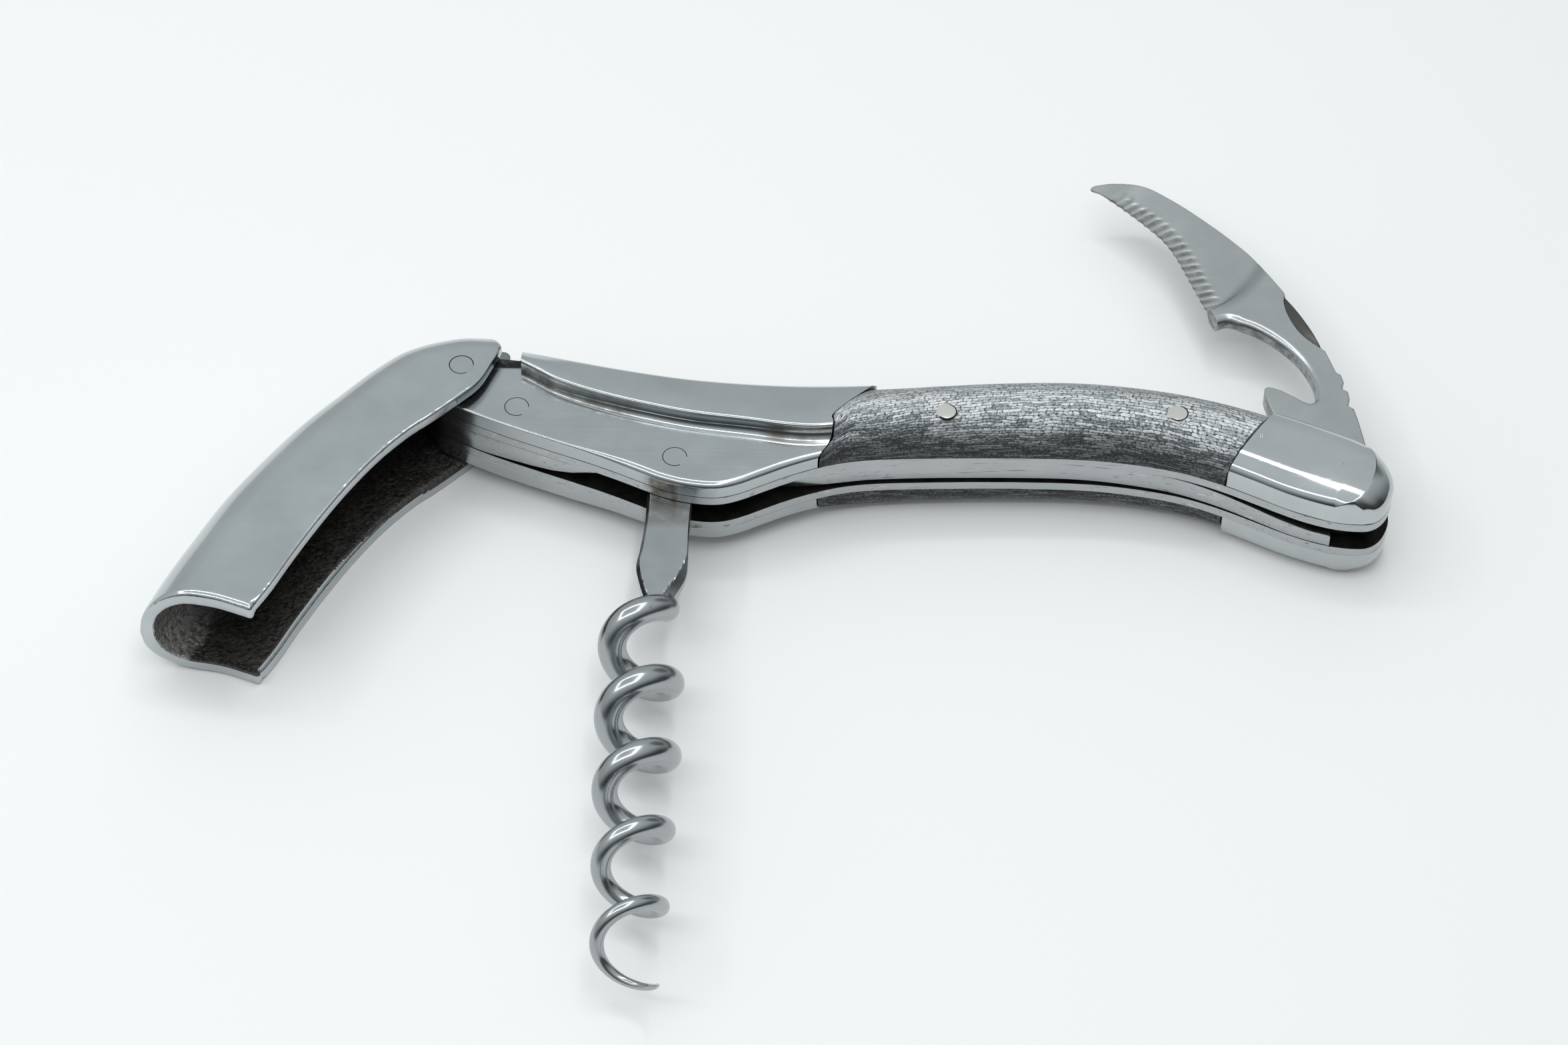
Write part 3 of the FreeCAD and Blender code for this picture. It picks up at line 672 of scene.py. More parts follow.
BROWN_WALL = [((-17.3, -3.0, -6.0), (-12.6, 3.6, 4.9), 0.7)]
M_BOLSTER = steel("bolster_steel", (0.495, 0.522, 0.533), 0.11,
                  smudge=0.035, cove=[((-34.0, None, 4.9),
                                       (-17.0, None, 6.90), 2.0),
                                      ((-3.5, None, 4.9),
                                       (12.0, None, 6.90), 2.0)])
# Its painted_shade box paints near-black shade along the top edge of the neck,
# in the gap behind it under the lever.
M_RECESS = steel("recess_steel", (0.480, 0.506, 0.517), 0.15, grain=1.45,
                 grain_amt=0.24, smudge=0.045, brown=BROWN_WALL,
                 painted_shade=[((-37.2, 19.35, -6), (-32.2, 25.0, 6), 0.30)])
M_TAIL = steel("tail_steel", (0.530, 0.556, 0.565), 0.06, smudge=0.02)
# On the liners: painted shade, near-black at the neck and on the far liner
# beside the worm shank, and (inner) their flat faces in the slot darkened
# nearly to black.
M_LINER = steel("liner_steel", (0.470, 0.488, 0.495), 0.17, grain=0.0,
                grain_amt=0.30, pits=0.9, brown=BROWN_WALL, streak=0.75,
                inner=0.93, painted_shade=[((-37.2, 19.6, -6), (-31.8, 26, 6), 0.4),
                              ((-11.3, -3.0, -4.7), (-9.7, 3.6, -1.9),
                               0.8)])
# On the spring: painted shade (inner) darkens its flat faces in the slot by
# half or more, in patches.
M_SPRING = steel("spring_steel", (0.450, 0.468, 0.475), 0.16, grain=0.0,
                 grain_amt=0.25, pits=0.9, streak=0.8, inner=0.55)
M_PIN = steel("pin_steel", (0.485, 0.512, 0.523), 0.15)
M_RIVET = steel("rivet_metal", (0.80, 0.78, 0.74), 0.13)
# Painted shade: a near-black steel for the shaded seam rings round the pin and
# rivet heads.
M_SEAM_SHADE = steel("seam_painted_shade", (0.035, 0.035, 0.035), 0.55)
M_WORM = steel("worm_steel", (0.400, 0.420, 0.430), 0.20, smudge=0.05,
               pits=0.55,
               brown=[((-17.6, -2.6, 0.5), (-10.6, 4.0, 2.2), 1.1)])
M_BLADE = steel("blade_steel", (0.465, 0.484, 0.492), 0.22, grain=2.2,
                grain_amt=0.10, smudge=0.03)


def blade_painted_shade(m):
    """Painted shade on the blade: dark flute and nail nick hollows, a dark
    band along the plunge line, and dark side walls.
    """
    nt = m.node_tree
    b = nt.nodes["Principled BSDF"]
    src = b.inputs["Base Color"].links[0].from_socket

    def att(name):
        a = N(nt, "ShaderNodeAttribute")
        a.attribute_name = name
        return a.outputs["Fac"]
    tc = N(nt, "ShaderNodeTexCoord")
    v = tc.outputs["Object"]
    sn = N(nt, "ShaderNodeSeparateXYZ")
    nt.links.new(tc.outputs["Normal"], sn.inputs[0])
    # painted dark reflection: faces standing on edge (normal across Z),
    # speckled
    wall = ramp(nt, [(0.30, 1.0), (0.62, 0.0)], math_n(
        nt, "ABSOLUTE", sn.outputs[2])).outputs[0]
    spk = ramp(nt, [(0.35, 0.35), (0.60, 1.0)],
               noise(nt, v, 700, 3, 0.6)).outputs[0]
    # painted shade in the flute hollows
    col = mixc(nt, math_n(nt, "MULTIPLY", att("flute"), math_n(
        nt, "MULTIPLY", spk, 0.75)), src, (0.150, 0.135, 0.118))
    # painted shade: a dark band along the plunge line
    col = mixc(nt, math_n(nt, "MULTIPLY", att("scoop"), 0.55), col,
               (0.200, 0.205, 0.205))
    # painted dark reflection on the side walls
    col = mixc(nt, math_n(nt, "MULTIPLY", wall, math_n(
        nt, "MULTIPLY", spk, 0.80)), col, (0.075, 0.075, 0.075))
    # painted shade in the nail nick hollow
    col = mixc(nt, math_n(nt, "MULTIPLY", att("nick"), 0.88), col,
               (0.060, 0.052, 0.045))
    nt.links.new(col, b.inputs["Base Color"])


blade_painted_shade(M_BLADE)


def cast_material():
    """Inside of the lever: dark, grainy as-cast skin, worn to speckled
    bare metal on the web near the claw."""
    m, nt, b = new_mat("lever_cast_skin")
    b.inputs["IOR"].default_value = 1.9
    tc = N(nt, "ShaderNodeTexCoord")
    v = tc.outputs["Object"]
    sp = N(nt, "ShaderNodeSeparateXYZ")
    nt.links.new(v, sp.inputs[0])
    sn = N(nt, "ShaderNodeSeparateXYZ")
    nt.links.new(tc.outputs["Normal"], sn.inputs[0])
    g1 = noise(nt, v, 2300, 3, 0.6)
    g2 = noise(nt, v, 420, 3, 0.6)
    vo = N(nt, "ShaderNodeTexVoronoi")
    vo.inputs["Scale"].default_value = 1500
    nt.links.new(v, vo.inputs["Vector"])
    cast = mixc(nt, ramp(nt, [(0.40, 0.0), (0.70, 1.0)], g1).outputs[0],
                (0.010, 0.009, 0.008), (0.055, 0.048, 0.041))
    cast = mixc(nt, ramp(nt, [(0.45, 0.0), (0.80, 0.7)], g2).outputs[0],
                cast, (0.070, 0.062, 0.054))
    # across the lever from its back, and up it from the claw, mm
    dx = math_n(nt, "MULTIPLY", math_n(
        nt, "SUBTRACT", sp.outputs[0], (-75.2 + SX) / 1000.0), 1000.0)
    dy = math_n(nt, "MULTIPLY", math_n(
        nt, "SUBTRACT", sp.outputs[1], (-18.95 + SY) / 1000.0), 1000.0)
    acr = math_n(nt, "SUBTRACT", math_n(nt, "MULTIPLY", dx, 0.91),
                 math_n(nt, "MULTIPLY", dy, 0.41))
    lng = math_n(nt, "ADD", math_n(nt, "MULTIPLY", dx, 0.41),
                 math_n(nt, "MULTIPLY", dy, 0.91))
    wob = math_n(nt, "MULTIPLY", math_n(nt, "SUBTRACT", g2, 0.5), 5.0)
    m1 = ramp(nt, [(0.0, 1.0), (1.0, 0.0)], math_n(
        nt, "SUBTRACT", math_n(nt, "ADD", acr, wob), 3.9, True)).outputs[0]
    m2 = ramp(nt, [(0.30, 1.0), (1.0, 0.0)], math_n(
        nt, "DIVIDE", math_n(nt, "ADD", lng, wob), 10.0, True)).outputs[0]
    spk = ramp(nt, [(0.40, 0.25), (0.50, 1.0)],
               noise(nt, v, 1300, 3, 0.65)).outputs[0]
    wm = math_n(nt, "MULTIPLY", math_n(nt, "MULTIPLY", m1, m2), spk)
    col = mixc(nt, wm, cast, (0.40, 0.39, 0.37))
    nt.links.new(col, b.inputs["Base Color"])
    rgh = ramp(nt, [(0.3, 0.34), (0.7, 0.60)], g1).outputs[0]
    nt.links.new(math_n(nt, "SUBTRACT", rgh, math_n(
        nt, "MULTIPLY", wm, 0.12)), b.inputs["Roughness"])
    nt.links.new(math_n(nt, "ADD", 0.45, math_n(
        nt, "MULTIPLY", wm, 0.5), True), b.inputs["Metallic"])
    h = math_n(nt, "ADD", math_n(nt, "MULTIPLY", g1, 0.8),
               math_n(nt, "MULTIPLY", vo.outputs["Distance"], 0.35))
    h = math_n(nt, "ADD", h, math_n(nt, "MULTIPLY", g2, 0.35))
    bp = N(nt, "ShaderNodeBump")
    bp.inputs["Strength"].default_value = 1.0
    bp.inputs["Distance"].default_value = 0.00022
    nt.links.new(h, bp.inputs["Height"])
    nt.links.new(bp.outputs[0], b.inputs["Normal"])
    return m


M_LEVER = steel("lever_steel", (0.500, 0.530, 0.542), 0.15, smudge=0.04)
M_CAST = cast_material()


def scale_material():
    """Cloth laminate: long floats of pale thread lying along the handle,
    a short knot between each pair where a cross thread comes over, and
    dark resin in the gaps. Towards the belly the layers are cut on edge
    and the cloth turns finer and darker, the darkening partly the cut
    layers and partly painted shade; the dimming towards the back edge
    is painted shade too."""
    m, nt, b = new_mat("scale_laminate")
    b.inputs["Metallic"].default_value = 0.0
    b.inputs["IOR"].default_value = 1.5
    tc = N(nt, "ShaderNodeTexCoord")
    uv = tc.outputs["UV"]

    def wander(scale, amp, seed):
        mp = N(nt, "ShaderNodeMapping")
        mp.inputs["Location"].default_value = (seed, seed * 0.7, 0)
        nt.links.new(uv, mp.inputs["Vector"])
        q = N(nt, "ShaderNodeTexNoise")
        q.inputs["Scale"].default_value = scale
        q.inputs["Detail"].default_value = 2
        nt.links.new(mp.outputs[0], q.inputs["Vector"])
        return math_n(nt, "MULTIPLY",
                      math_n(nt, "SUBTRACT", q.outputs["Fac"], 0.5), amp)
    sp = N(nt, "ShaderNodeSeparateXYZ")
    nt.links.new(uv, sp.inputs[0])
    u = math_n(nt, "ADD", sp.outputs[0], wander(0.35, 1.6, 3.0))
    v = math_n(nt, "ADD", sp.outputs[1], wander(0.16, 1.5, 11.0))
    v = math_n(nt, "ADD", v, wander(0.9, 0.30, 23.0))
    vr = math_n(nt, "DIVIDE", v, 0.46)
    row = math_n(nt, "FLOOR", vr)
    fv = math_n(nt, "FRACT", vr)
    odd = math_n(nt, "MODULO", row, 2.0)
    third = math_n(nt, "MULTIPLY", math_n(nt, "MODULO", row, 5.0), 0.09)
    ur = math_n(nt, "ADD", math_n(nt, "DIVIDE", u, 2.0),
                math_n(nt, "ADD", math_n(nt, "MULTIPLY", odd, 0.5), third))
    col = math_n(nt, "FLOOR", ur)
    fu = math_n(nt, "FRACT", ur)
    cell = N(nt, "ShaderNodeCombineXYZ")
    nt.links.new(col, cell.inputs[0])
    nt.links.new(row, cell.inputs[1])
    wn = N(nt, "ShaderNodeTexWhiteNoise", noise_dimensions="2D")
    nt.links.new(cell.outputs[0], wn.inputs["Vector"])
    rnd = wn.outputs["Value"]
    sc = N(nt, "ShaderNodeSeparateXYZ")
    nt.links.new(wn.outputs["Color"], sc.inputs[0])
    # across the thread: round-backed, with the gap on its lower side
    across = math_n(nt, "ABSOLUTE", math_n(
        nt, "SUBTRACT", math_n(nt, "MULTIPLY", fv, 2.0), 1.06))
    body = math_n(nt, "SUBTRACT", 1.0, math_n(nt, "POWER", across, 3.0),
                  True)
    # along the thread: a float, then a knot
    half = math_n(nt, "ADD", 0.25, math_n(nt, "MULTIPLY",
                                          sc.outputs[1], 0.10))
    lf = math_n(nt, "DIVIDE", math_n(nt, "ABSOLUTE", math_n(
        nt, "SUBTRACT", fu, 0.34)), half)
    fl = math_n(nt, "SUBTRACT", 1.0, math_n(nt, "POWER", lf, 5.0), True)
    lk = math_n(nt, "DIVIDE", math_n(nt, "ABSOLUTE", math_n(
        nt, "SUBTRACT", fu, 0.83)), 0.15)
    kn = math_n(nt, "SUBTRACT", 1.0, math_n(nt, "POWER", lk, 3.0), True)
    kn = math_n(nt, "MULTIPLY", kn, 0.80)
    along = math_n(nt, "MAXIMUM", fl, kn)
    along = math_n(nt, "ADD", math_n(nt, "MULTIPLY", along, 0.72), 0.28)
    hgt = math_n(nt, "MULTIPLY", body, along)
    # fibres
    st = N(nt, "ShaderNodeVectorMath", operation="MULTIPLY")
    nt.links.new(uv, st.inputs[0])
    st.inputs[1].default_value = (1.0, 3.6, 1.0)
    fib = noise(nt, st.outputs[0], 1.25, 5, 0.72)
    fib2 = noise(nt, uv, 3.2, 4, 0.7)
    pat = noise(nt, uv, 0.11, 3, 0.6)
    att = N(nt, "ShaderNodeAttribute")
    att.attribute_name = "side"
    sd = math_n(nt, "ADD", att.outputs["Fac"],
                math_n(nt, "MULTIPLY", math_n(nt, "SUBTRACT", pat, 0.5),
                       0.15))
    # lit is painted light and shade across the dome, by the side attribute:
    # dark at the belly, full in the middle, dimmer at the back. low marks the
    # belly side, where the cut layers also turn darker and coarser.
    lit = ramp(nt, [(0.0, 0.20), (0.10, 0.40), (0.22, 0.80), (0.34, 1.0),
                    (0.60, 1.0), (0.78, 0.60),
                    (1.0, 0.52)], sd).outputs[0]
    low = ramp(nt, [(0.0, 1.0), (0.22, 0.75), (0.48, 0.0)], sd).outputs[0]
    tone = math_n(nt, "ADD", math_n(nt, "MULTIPLY", rnd, 0.26),
                  math_n(nt, "MULTIPLY", fib, 0.92))
    tone = math_n(nt, "ADD", tone, math_n(
        nt, "MULTIPLY", math_n(nt, "SUBTRACT", fib2, 0.5), 0.90))
    swing = math_n(nt, "ADD", 1.25, math_n(nt, "MULTIPLY", low, 1.10))
    tone = math_n(nt, "ADD", 0.55, math_n(
        nt, "MULTIPLY", math_n(nt, "SUBTRACT", tone, 0.55), swing))
    tone = math_n(nt, "SUBTRACT", tone, math_n(nt, "MULTIPLY", low, 0.20))
    thread = ramp(nt, [(0.22, (0.120, 0.136, 0.146)),
                       (0.40, (0.300, 0.330, 0.344)),
                       (0.55, (0.480, 0.512, 0.525)),
                       (0.76, (0.82, 0.84, 0.85))], tone).outputs[0]
    # thread and resin both take the painted light and shade of lit
    thread = mixc(nt, 1.0, thread, lit, "MULTIPLY")
    resin = mixc(nt, lit, (0.012, 0.014, 0.018), (0.030, 0.035, 0.040))
    gate = ramp(nt, [(0.14, 0.0), (0.40, 1.0)],
                math_n(nt, "ADD", hgt, math_n(
                    nt, "MULTIPLY", math_n(nt, "SUBTRACT", fib2, 0.5),
                    0.9))).outputs[0]
    colr = mixc(nt, gate, resin, thread)
    nt.links.new(colr, b.inputs["Base Color"])
    rg = ramp(nt, [(0.0, 0.62), (0.4, 0.42), (1.0, 0.33)], hgt).outputs[0]
    nt.links.new(rg, b.inputs["Roughness"])
    nt.links.new(math_n(nt, "SUBTRACT", 0.55,
                        math_n(nt, "MULTIPLY", low, 0.38)),
                 b.inputs["Specular IOR Level"])
    h = math_n(nt, "ADD", hgt, math_n(nt, "MULTIPLY", fib, 0.35))
    bp = N(nt, "ShaderNodeBump")
    bp.inputs["Strength"].default_value = 0.75
    bp.inputs["Distance"].default_value = 0.00009
    nt.links.new(h, bp.inputs["Height"])
    nt.links.new(bp.outputs[0], b.inputs["Normal"])
    return m


M_SCALE = scale_material()

# ======================================================================
# Scales
# ======================================================================
def superell(p, n):
    """Angles from belly to back as (r, h) pairs of a superellipse."""
    a = np.linspace(-math.pi / 2, math.pi / 2, n)
    r = np.sign(a) * np.abs(np.sin(a)) ** (2 / p)
    h = np.abs(np.cos(a)) ** (2 / p)
    h[0] = 0.0
    top = a > 0
    a2 = a[top] * (math.pi / 2 - 0.26) / (math.pi / 2)
    r2 = np.sin(a2) ** (2 / p)
    r[top] = r2 / r2[-1]
    h2 = np.cos(a2) ** (2 / p)
    h[top] = 1 - (1 - h2) / (1 - h2[-1]) * 0.80
    return r, h


def cross_y(x, r):
    yc = crest(x)
    return np.where(r < 0, yc + (yc - belly(x)) * r, yc + (back(x) - yc) * r)


def solve_x(fx, r, x0):
    x = np.full_like(r, x0)
    for _ in range(40):
        x = 0.5 * x + 0.5 * fx(cross_y(x, r))
    return x


def build_scale(side):
    n, m = 190, 61
    r, h = superell(2.3, m)
    xl = solve_x(joint_x, r, 6.0) + 0.19
    xr = solve_x(tail_x, r, 56.0)
    xr = np.minimum(xr, 64) - 0.20
    top = np.zeros((n, m, 3))
    uv = np.zeros((n, m, 2))
    att = np.zeros((n, m))
    for i in range(n):
        s = i / (n - 1.0)
        x = xl + (xr - xl) * s
        y = cross_y(x, r)
        z = ZO + (CREST_Z - ZO) * h
        cut = RECESS_Z + (x - 5.0) * 2.1 / 12.0
        w = smooth(10.15, 9.35, y) * smooth(19, 10, x)
        z = z * (1 - w) + np.minimum(z, np.maximum(cut, RECESS_Z)) * w
        top[i, :, 0], top[i, :, 1], top[i, :, 2] = x, y, z
        dv = np.hypot(np.diff(y), 1.9 * np.diff(z))
        v = np.r_[0, np.cumsum(dv)]
        v = v - np.interp(0.0, r, v)
        uv[i, :, 0] = x * 1.0
        uv[i, :, 1] = v + 40 + side * 7
        att[i] = (y - belly(x)) / (back(x) - belly(x))
    v, f, uvs, rim = shell(top, ZO, side, uv, 0.05)
    # carry the weave on down the walls
    k = len(v) - n * m
    rid = np.resize(np.array(rim[:len(rim)]), k)
    u0 = uv.reshape(-1, 2)[rid]
    rr_ = att.reshape(-1)[rid]
    dz = top.reshape(-1, 3)[rid, 2] - np.abs(v[n * m:, 2])
    u0 = np.c_[u0[:, 0], u0[:, 1] + 1.9 * dz * np.where(rr_ > 0.5, 1, -1)]
    uvs = np.vstack([uv.reshape(-1, 2), u0])
    name = "near_scale_skin" if side > 0 else "far_scale_skin"
    me_att = np.r_[att.reshape(-1), att.reshape(-1)[rid]]
    ob = make(name, v, f, "handle", M_SCALE, sharp=50,
              bevel=0.08, merge=0, uv=uvs)
    # the side attribute (0 at the belly, 1 at the back) carries the painted
    # light and shade across the scale
    a = ob.data.attributes.new("side", "FLOAT", "POINT")
    if len(a.data) == len(me_att):
        a.data.foreach_set("value", me_att)
    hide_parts("near_scale" if side > 0 else "far_scale")
    return ob


for sd in (1, -1):
    build_scale(sd)

# ======================================================================
# Head bolsters: recessed plate and raised, domed block with its ledge
# ======================================================================
def build_head(side):
    # plate
    a = np.linspace(0, math.pi, 40)
    xs = np.r_[-43.95 + 4.4 * (1 - np.cos(a[:14] / 2.0)),
               np.linspace(-42.6, 12.0, 200)]
    xs = np.unique(np.round(xs, 4))
    # rows as fractions with rounding at the belly and back edges
    fr = np.linspace(0, 1, 34)
    m = 9 + len(fr) - 2 + 6
    rows = []
    top = []
    smax = len(xs)
    slope = np.gradient(belly(xs), xs)
    for i in range(smax):
        x = xs[i]
        yb, yt = float(belly(x)), float(back(x))
        yt -= 1.05 * float(smooth(-37.0, -36.2, x)) * \
            float(smooth(-31.9, -32.6, x))
        rb = 0.26 + 0.62 * float(smooth(-27, -17, x)) \
            - 0.15 * float(smooth(-2, 6, x))
        rb = min(rb, (yt - yb) * 0.3 + 1e-3)
        k = min(2.0, math.sqrt(1 + slope[i] ** 2))
        row = []
        for q in range(9):
            ph = math.pi / 2 * q / 8.0
            row.append((x, yb + rb * (1 - math.cos(ph)) * k,
                        RECESS_Z - rb + rb * math.sin(ph)))
        rt = min(0.25, (yt - yb) * 0.2)
        y0, y1 = row[-1][1], yt - rt
        for q in fr[1:-1]:
            row.append((x, y0 + (y1 - y0) * q, RECESS_Z))
        for q in range(6):
            ph = math.pi / 2 * (1 - q / 5.0)
            row.append((x, yt - rt + rt * math.cos(ph),
                        RECESS_Z - rt + rt * math.sin(ph)))
        top.append(row)
    top = np.array(top)
    # squeeze the right end of every row onto the joint line
    n, m = top.shape[:2]
    out = top.copy()
    for j in range(m):
        # crossing of this row with the joint
        xx, yy = top[:, j, 0], top[:, j, 1]
        g = xx - joint_x(yy)
        k = np.where(g > 0)[0]
        k = k[0] if len(k) else n - 1
        t = g[k - 1] / (g[k - 1] - g[k])
        xe = xx[k - 1] + t * (xx[k] - xx[k - 1])
        x0 = xx[0]
        snew = x0 + (xx - x0) * (xe - x0) / (xx[-1] - x0)
        out[:, j, 1] = np.interp(snew, xx, yy)
        out[:, j, 2] = np.interp(snew, xx, top[:, j, 2])
        out[:, j, 0] = snew
    v1, f1, _, _ = shell(out, ZO, side, None, 0.11)
    # raised block
    # cove: a hollow quarter from the plate up to a nearly upright lip
    prof = [(-1.0, 4.97), (-0.93, 4.995)]
    for k in range(1, 13):
        q = math.pi / 2 * k / 12.0
        prof.append((-0.93 + 0.93 * math.sin(q) * 0.985,
                     5.0 + 1.62 * (1 - math.cos(q)) ** 0.92))
    prof += [(-0.01, 6.74), (0.015, 6.86), (0.07, 6.965), (0.15, 7.035),
             (0.26, 7.08), (0.40, 7.10)]
    nd = 30
    xs = np.r_[np.linspace(-32.38, -30.0, 14), np.linspace(-29.8, 12.2, 150)]
    top = []
    for x in xs:
        yl = float(crest(x))
        if x < -31.6:
            yl += 0.0
        yt = float(back(x)) - 0.003
        wd = 0.80 + 0.38 * float(smooth(-31, -20, x)) + \
            0.30 * float(smooth(-12, 2, x))
        row = [(x, yl + (dy * wd if dy < 0 else dy), z)
               for dy, z in prof]
        y0 = yl + 0.40
        p = 2.5
        for q in range(1, nd):
            rr = q / (nd - 1.0)
            dome = 1.65 * rr ** 1.6 + 0.75 * max(0, rr - 0.86) ** 2 / 0.0196
            row.append((x, y0 + (yt - y0) * rr, 7.1 - dome))
        top.append(row)
    top = np.array(top)
    n, m = top.shape[:2]
    out = top.copy()
    for j in range(m):
        xx, yy = top[:, j, 0], top[:, j, 1]
        g = xx - joint_x(yy)
        k = np.where(g > 0)[0]
        k = k[0] if len(k) else n - 1
        t = g[k - 1] / (g[k - 1] - g[k])
        xe = xx[k - 1] + t * (xx[k] - xx[k - 1])
        x0 = xx[0]
        snew = x0 + (xx - x0) * (xe - x0) / (xx[-1] - x0)
        out[:, j, 1] = np.interp(snew, xx, yy)
        out[:, j, 2] = np.interp(snew, xx, top[:, j, 2])
        out[:, j, 0] = snew
    v2, f2, _, _ = shell(out, ZO + 0.01, side)
    tag = "near" if side > 0 else "far"
    o1 = make(tag + "_head_plate", v1, f1, "handle", M_RECESS,
              sharp=40, bevel=0.0)
    o2 = make(tag + "_head_crown", v2, f2, "handle", M_BOLSTER,
              sharp=40, bevel=0.06)
    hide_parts(tag + "_head_bolster")
    return o1, o2


for sd in (1, -1):
    build_head(sd)

# ======================================================================
# Tail bolsters
# ======================================================================
def build_tail(side):
    # boundary from the joint along the belly, round the end, to the joint
    bx = np.linspace(0, 1, 400)
    lo = np.array([(x, float(belly(x))) for x in np.linspace(50, 69.1, 200)])
    keep = lo[lo[:, 0] >= tail_x(lo[:, 1])]
    up = np.array([(x, float(back(x))) for x in np.linspace(68.6, 56, 150)])
    keep2 = up[up[:, 0] >= tail_x(up[:, 1])]
    tl = catmull(TAIL, 80)
    path = np.vstack([keep, tl[1:-1], keep2])
    # even spacing
    s = np.r_[0, np.cumsum(np.linalg.norm(np.diff(path, axis=0), axis=1))]
    K = 260
    u = np.linspace(0, s[-1], K + 1)
    B = np.c_[np.interp(u, s, path[:, 0]), np.interp(u, s, path[:, 1])]
    m0 = (B[0] + B[-1]) / 2.0
    m1 = np.array([67.5, 4.70])
    # where the round end starts and stops
    ax = (m1 - m0) / np.linalg.norm(m1 - m0)
    proj = (B - m1) @ ax
    ks = int(np.where(proj > 0)[0][0])
    ke = int(np.where(proj > 0)[0][-1])
    R = 70
    an = np.linspace(0, math.pi / 2, R + 1)
    rr = np.sin(an) ** 0.8
    top = np.zeros((K + 1, R + 1, 3))
    p = 2.6
    nrm = np.array([-ax[1], ax[0]])
    sb = (B - m0) @ ax
    wb = (B - m0) @ nrm
    low = np.arange(K + 1) <= ks
    upp = np.arange(K + 1) >= ke
    for k in range(K + 1):
        if k <= ks:
            f = k / float(ks)
        elif k >= ke:
            f = (K - k) / float(K - ke)
        else:
            f = 1.0
        Cc = m0 + (m1 - m0) * f
        P = Cc[None, :] + (B[k] - Cc)[None, :] * rr[:, None]
        sx = (P - m0) @ ax
        w = (P - m0) @ nrm
        hwl = -np.interp(sx, sb[low], wb[low])
        hwu = np.interp(sx, sb[upp][::-1], wb[upp][::-1])
        t = np.where(w < 0, -w / hwl, w / hwu)
        h1 = np.maximum(0, 1 - np.clip(t, 0, 1) ** p) ** (1 / p)
        # the rounded end
        s_end = np.interp(w, wb[ks:ke + 1], sb[ks:ke + 1])
        q = np.maximum(0, s_end - sx) / 2.6
        h2 = q ** 0.60
        h = np.minimum(h1, h2)
        h[-1] = 0.0
        top[k, :, :2] = P
        top[k, :, 2] = 4.55 + 2.55 * h
    v, f, _, _ = shell(top, ZO, side, None, 0.11)
    tag = "near" if side > 0 else "far"
    ob = make(tag + "_tail_cap", v, f, "handle", M_TAIL,
              sharp=40, bevel=0.05, merge=0.02)
    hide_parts(tag + "_tail_bolster")
    return ob


for sd in (1, -1):
    build_tail(sd)

# ======================================================================
# Blade
# ======================================================================
SPINE = [(38.40, 57.20), (38.75, 57.55), (39.80, 57.85), (41.24, 57.96),
         (43.35, 57.70), (45.72, 56.96), (48.04, 55.40), (50.64, 53.20),
         (53.50, 50.40), (55.76, 47.95), (57.99, 45.20), (60.16, 41.90),
         (62.05, 38.70), (63.92, 35.20), (65.46, 31.90), (66.69, 28.60),
         (67.75, 25.30)]
JIMP = [(67.75, 25.30), (68.35, 24.85), (68.60, 23.60), (68.30, 22.60),
        (69.02, 22.10), (69.15, 20.80), (68.85, 19.80), (69.60, 19.20),
        (69.95, 17.50), (70.30, 15.40), (70.65, 13.00), (70.95, 10.60)]
CUTTING = [(53.58, 33.40), (52.39, 36.00), (51.32, 38.60), (50.27, 41.55),
           (48.95, 45.10), (47.44, 48.10), (45.59, 50.40), (43.58, 52.60),
           (41.26, 54.95), (39.70, 56.40), (38.65, 56.90), (38.40, 57.20)]
LIFTER = [(59.55, 18.40), (59.10, 19.80), (58.72, 21.60), (58.75, 22.25),
          (59.20, 22.60), (60.55, 22.20), (61.95, 21.35), (63.30, 20.55),
          (64.30, 20.35), (64.98, 20.75), (65.05, 22.40), (64.75, 24.10),
          (63.75, 26.60), (62.20, 28.95), (60.30, 30.95), (58.20, 32.55),
          (56.20, 33.45), (54.80, 33.85), (53.58, 33.40)]


